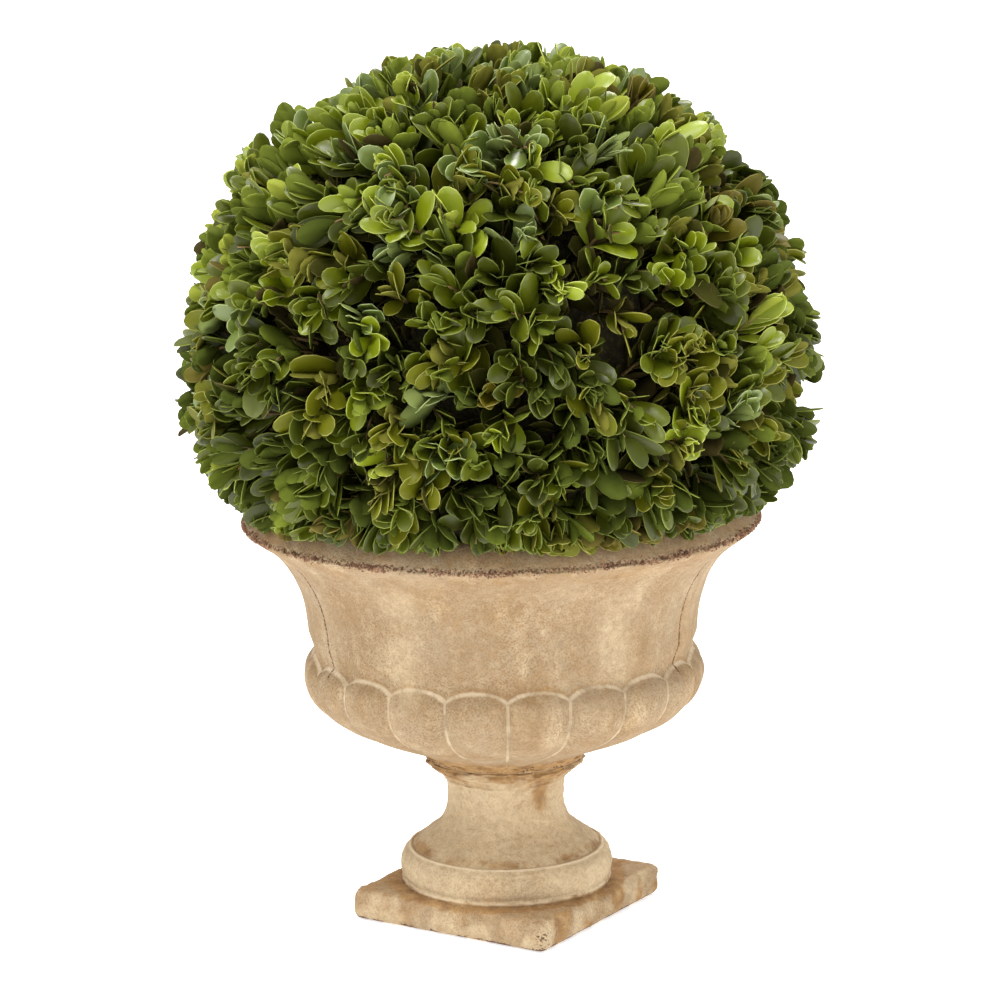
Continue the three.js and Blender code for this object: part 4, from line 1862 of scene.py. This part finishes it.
    def past_outline(self, points: np.ndarray) -> np.ndarray:
        """Says which leaves stick out of the clipped outline, which is a little uneven.

        Args:
            points: Points of the leaves, from the heart.

        Returns:
            True for each such leaf.
        """
        uneven = patches(points, 24, seed=83, middle=0, swing=1, limits=(-1.6, 0.7))
        limit = 1 + self.ragged * uneven
        return (self.clipped_dome.share(points) > limit).any(axis=1)

    def meets_urn(self, points: np.ndarray, gap: float) -> np.ndarray:
        """Says which points lie in the urn's wall or too near to it.

        Args:
            points: Points from the heart.
            gap: The distance that leaves keep to the urn.

        Returns:
            True for each such point.
        """
        height = points[..., 2] + self.heart_level
        radius = np.hypot(points[..., 0], points[..., 1])
        in_wall = radius < self.lip_radius_at(height - gap) + gap
        in_wall &= radius > self.mouth_radius - gap
        return in_wall & (height < self.lip_level + gap)

    def build(self) -> list[bpy.types.Object]:
        """Builds the pieces of the crown.

        Returns:
            The finished pieces.
        """
        heart = np.array((0, 0, self.heart_level))
        bough_paths, twig_paths, leaves = self.grow()
        pieces = [self.build_core()]
        bark = BarkFinish("bough_bark", screen_colour(120, 104, 76), screen_colour(60, 50, 34), 8)
        for name, paths, thick, thin, sides, finish in (
            ("crown_boughs", bough_paths, 2.6, 1.5, 6, bark),
            ("crown_twigs", twig_paths, 1.1, 0.45, 5, TwigFinish()),
        ):
            radii = np.linspace(thick, thin, paths.shape[1])[None].repeat(len(paths), 0)
            points, faces = tubes(paths + heart, radii, sides)
            piece = join_copies(name, points, faces, [0] * len(faces))
            pieces.append(dress(piece, [finish.build()]))
        full, full_points = self.fitted(leaves.pick(~leaves.plain), FULL_BLADE)
        plain, plain_points = self.fitted(leaves.pick(leaves.plain), PLAIN_BLADE)
        for number, tint in enumerate(Tint):
            materials = LEAF_FINISHES[tint].build()
            for word, batch, points, blade in (
                ("leaves", full, full_points, FULL_BLADE),
                ("inner_leaves", plain, plain_points, PLAIN_BLADE),
            ):
                chosen = points[batch.tint == number] + heart
                if len(chosen):
                    name = f"{word}_{tint.name.lower()}"
                    piece = join_copies(name, chosen, blade.faces, blade.slots, (2,))
                    pieces.append(dress(piece, materials))
        for piece in pieces:
            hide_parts("foliage_ball")
        return pieces

    def build_core(self) -> bpy.types.Object:
        """Builds the mossy inner ball that the boughs leave, with its foot in the mouth."""
        foot_radius, foot_depth, spacing, rows = 88.0, 50.0, 2.6, 61
        slopes = np.linspace(-0.5, 0.5, rows) * math.pi
        edge = np.stack((np.cos(slopes), np.zeros(rows), np.sin(slopes)), axis=1)
        edge = edge / self.moss_dome.share(edge)[:, None]
        widest = int(np.argmax(edge[:, 0] > foot_radius))
        outline = Outline(0, -foot_depth).to(spacing, (foot_radius, -foot_depth))
        outline.to(spacing, (foot_radius, edge[widest][2]))
        for corner in edge[widest + 1:-1]:
            outline.to(spacing, (corner[0], corner[2]))
        piece = turn_piece(outline.to(spacing, (0, edge[-1][2])), 150, "crown_moss_and_shade_core")
        points = read_points(piece)
        bulge = 1.6 * lumps(points, 17, seed=71) + 0.8 * lumps(points, 6, seed=72)
        above_foot = points[:, 2:] > -foot_depth + 1
        settle(piece, points + unit(points) * bulge[:, None] * above_foot, self.heart_level)
        # The moss's dark colour also paints the shade deep in the crown
        return dress(piece, [MossAndShadeFinish().build()])


def way_to(azimuth: float, elevation: float) -> Vector:
    """Gives the way from the object to what stands round it.

    Args:
        azimuth: Its angle round the object in degrees, from the side of -Y towards +X.
        elevation: Its angle above the floor in degrees.

    Returns:
        The direction, of length 1.
    """
    round_it, above = math.radians(azimuth), math.radians(elevation)
    across = math.cos(above)
    return Vector((math.sin(round_it) * across, -math.cos(round_it) * across, math.sin(above)))


@dataclass(frozen=True)
class Viewpoint:
    """Camera as it stood for the photograph, in degrees, metres and millimetres of lens."""

    azimuth: float = 32.51
    elevation: float = 12.03
    distance: float = 1.6265
    aim_height: float = 0.1832
    focal_length: float = 135.7
    sensor: float = 36.0
    roll: float = 0.89
    shift: float = -0.001

    def build(self) -> None:
        """Places the camera."""
        back = way_to(self.azimuth, self.elevation)
        place = Vector((0, 0, self.aim_height)) + back * self.distance
        bpy.ops.object.camera_add(location=place)
        camera = bpy.context.object
        camera.name = "photo_camera"
        tilt = Matrix.Rotation(math.radians(-self.roll), 4, "Z")
        upright = back.to_track_quat("Z", "Y").to_matrix().to_4x4()
        camera.rotation_euler = (upright @ tilt).to_euler()
        camera.data.lens = self.focal_length
        camera.data.sensor_width = self.sensor
        camera.data.shift_x = self.shift
        bpy.context.scene.camera = camera


@dataclass(frozen=True)
class SoftSun:
    """A far, wide and soft studio light.

    Attributes:
        name: Its name.
        azimuth: Where it stands round the object, in degrees, as the camera's is given.
        elevation: How high it stands, in degrees.
        width: How wide it looks from the object, in degrees.
        strength: Its strength.
    """

    name: str
    azimuth: float
    elevation: float
    width: float
    strength: float

    def build(self) -> None:
        """Places the light, aimed at the object."""
        back = way_to(self.azimuth, self.elevation)
        start_fresh()
        bpy.ops.object.light_add(type="SUN", location=back * 2)
        light = bpy.context.object
        light.name = self.name
        light.rotation_euler = back.to_track_quat("Z", "Y").to_euler()
        light.data.angle = math.radians(self.width)
        light.data.energy = self.strength


@dataclass(frozen=True)
class Studio:
    """Pale floor, white surroundings and soft lights."""

    floor_radius: float = 14.0
    surroundings: float = 0.62
    suns: tuple[SoftSun, ...] = (
        SoftSun("key_top", 6.0, 66.0, 22.0, 2.2),
        SoftSun("right", 80.0, 5.0, 60.0, 0.92),
        SoftSun("left", -22.0, 20.0, 60.0, 0.3),
        SoftSun("rim", -165.0, 54.0, 26.0, 2.4),
        SoftSun("sparkle", -12.0, 46.0, 9.0, 0.32),
    )

    def build(self) -> None:
        """Builds the studio."""
        start_fresh()
        bpy.ops.mesh.primitive_circle_add(vertices=96, radius=self.floor_radius, fill_type="NGON")
        floor = bpy.context.object
        floor.name = "studio_floor"
        floor.data.materials.append(FloorFinish().build())
        world = bpy.data.worlds.new("white_surroundings")
        world.use_nodes = True
        background = world.node_tree.nodes["Background"]
        background.inputs["Color"].default_value = (1, 1, 1, 1)
        background.inputs["Strength"].default_value = self.surroundings
        bpy.context.scene.world = world
        for sun in self.suns:
            sun.build()
        bpy.context.scene.view_settings.view_transform = "Standard"


def main() -> None:
    """Builds the urn, the plant and the studio in order."""
    logging.basicConfig(level=logging.INFO, format="%(name)s %(message)s")
    bowl_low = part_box("urn_bowl")[0] / MM
    pedestal_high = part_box("urn_pedestal")[1] / MM
    stem_low, stem_high = (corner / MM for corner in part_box("stem"))

    urn_finish = UrnFinish()
    bowl = GadroonedBowl(foot_level=bowl_low.z)
    bowl.build(urn_finish)
    bowl.build_crumbs(CrumbFinish())
    Pedestal(height=pedestal_high.z).build(urn_finish)

    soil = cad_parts["soil"].data.materials
    soil.clear()
    soil.append(SoilFinish().build())
    stem = Stem(foot_level=stem_low.z, height=stem_high.z - stem_low.z)
    stem.build(BarkFinish("stem_bark", screen_colour(134, 116, 88), screen_colour(64, 52, 38), 20))

    outline = bowl.outline()
    crown = ClippedCrown(
        heart_level=228.0,
        stem_tip=stem.tip(),
        lip_level=bowl.foot_level + bowl.lip_height,
        lip_radius=bowl.rim_radius,
        lip_radius_at=lambda height: outline.radius_at(height - bowl.foot_level),
        mouth_radius=bowl.mouth_radius,
    )
    crown.build()

    Viewpoint().build()
    Studio().build()


if __name__ == "__main__":
    main()
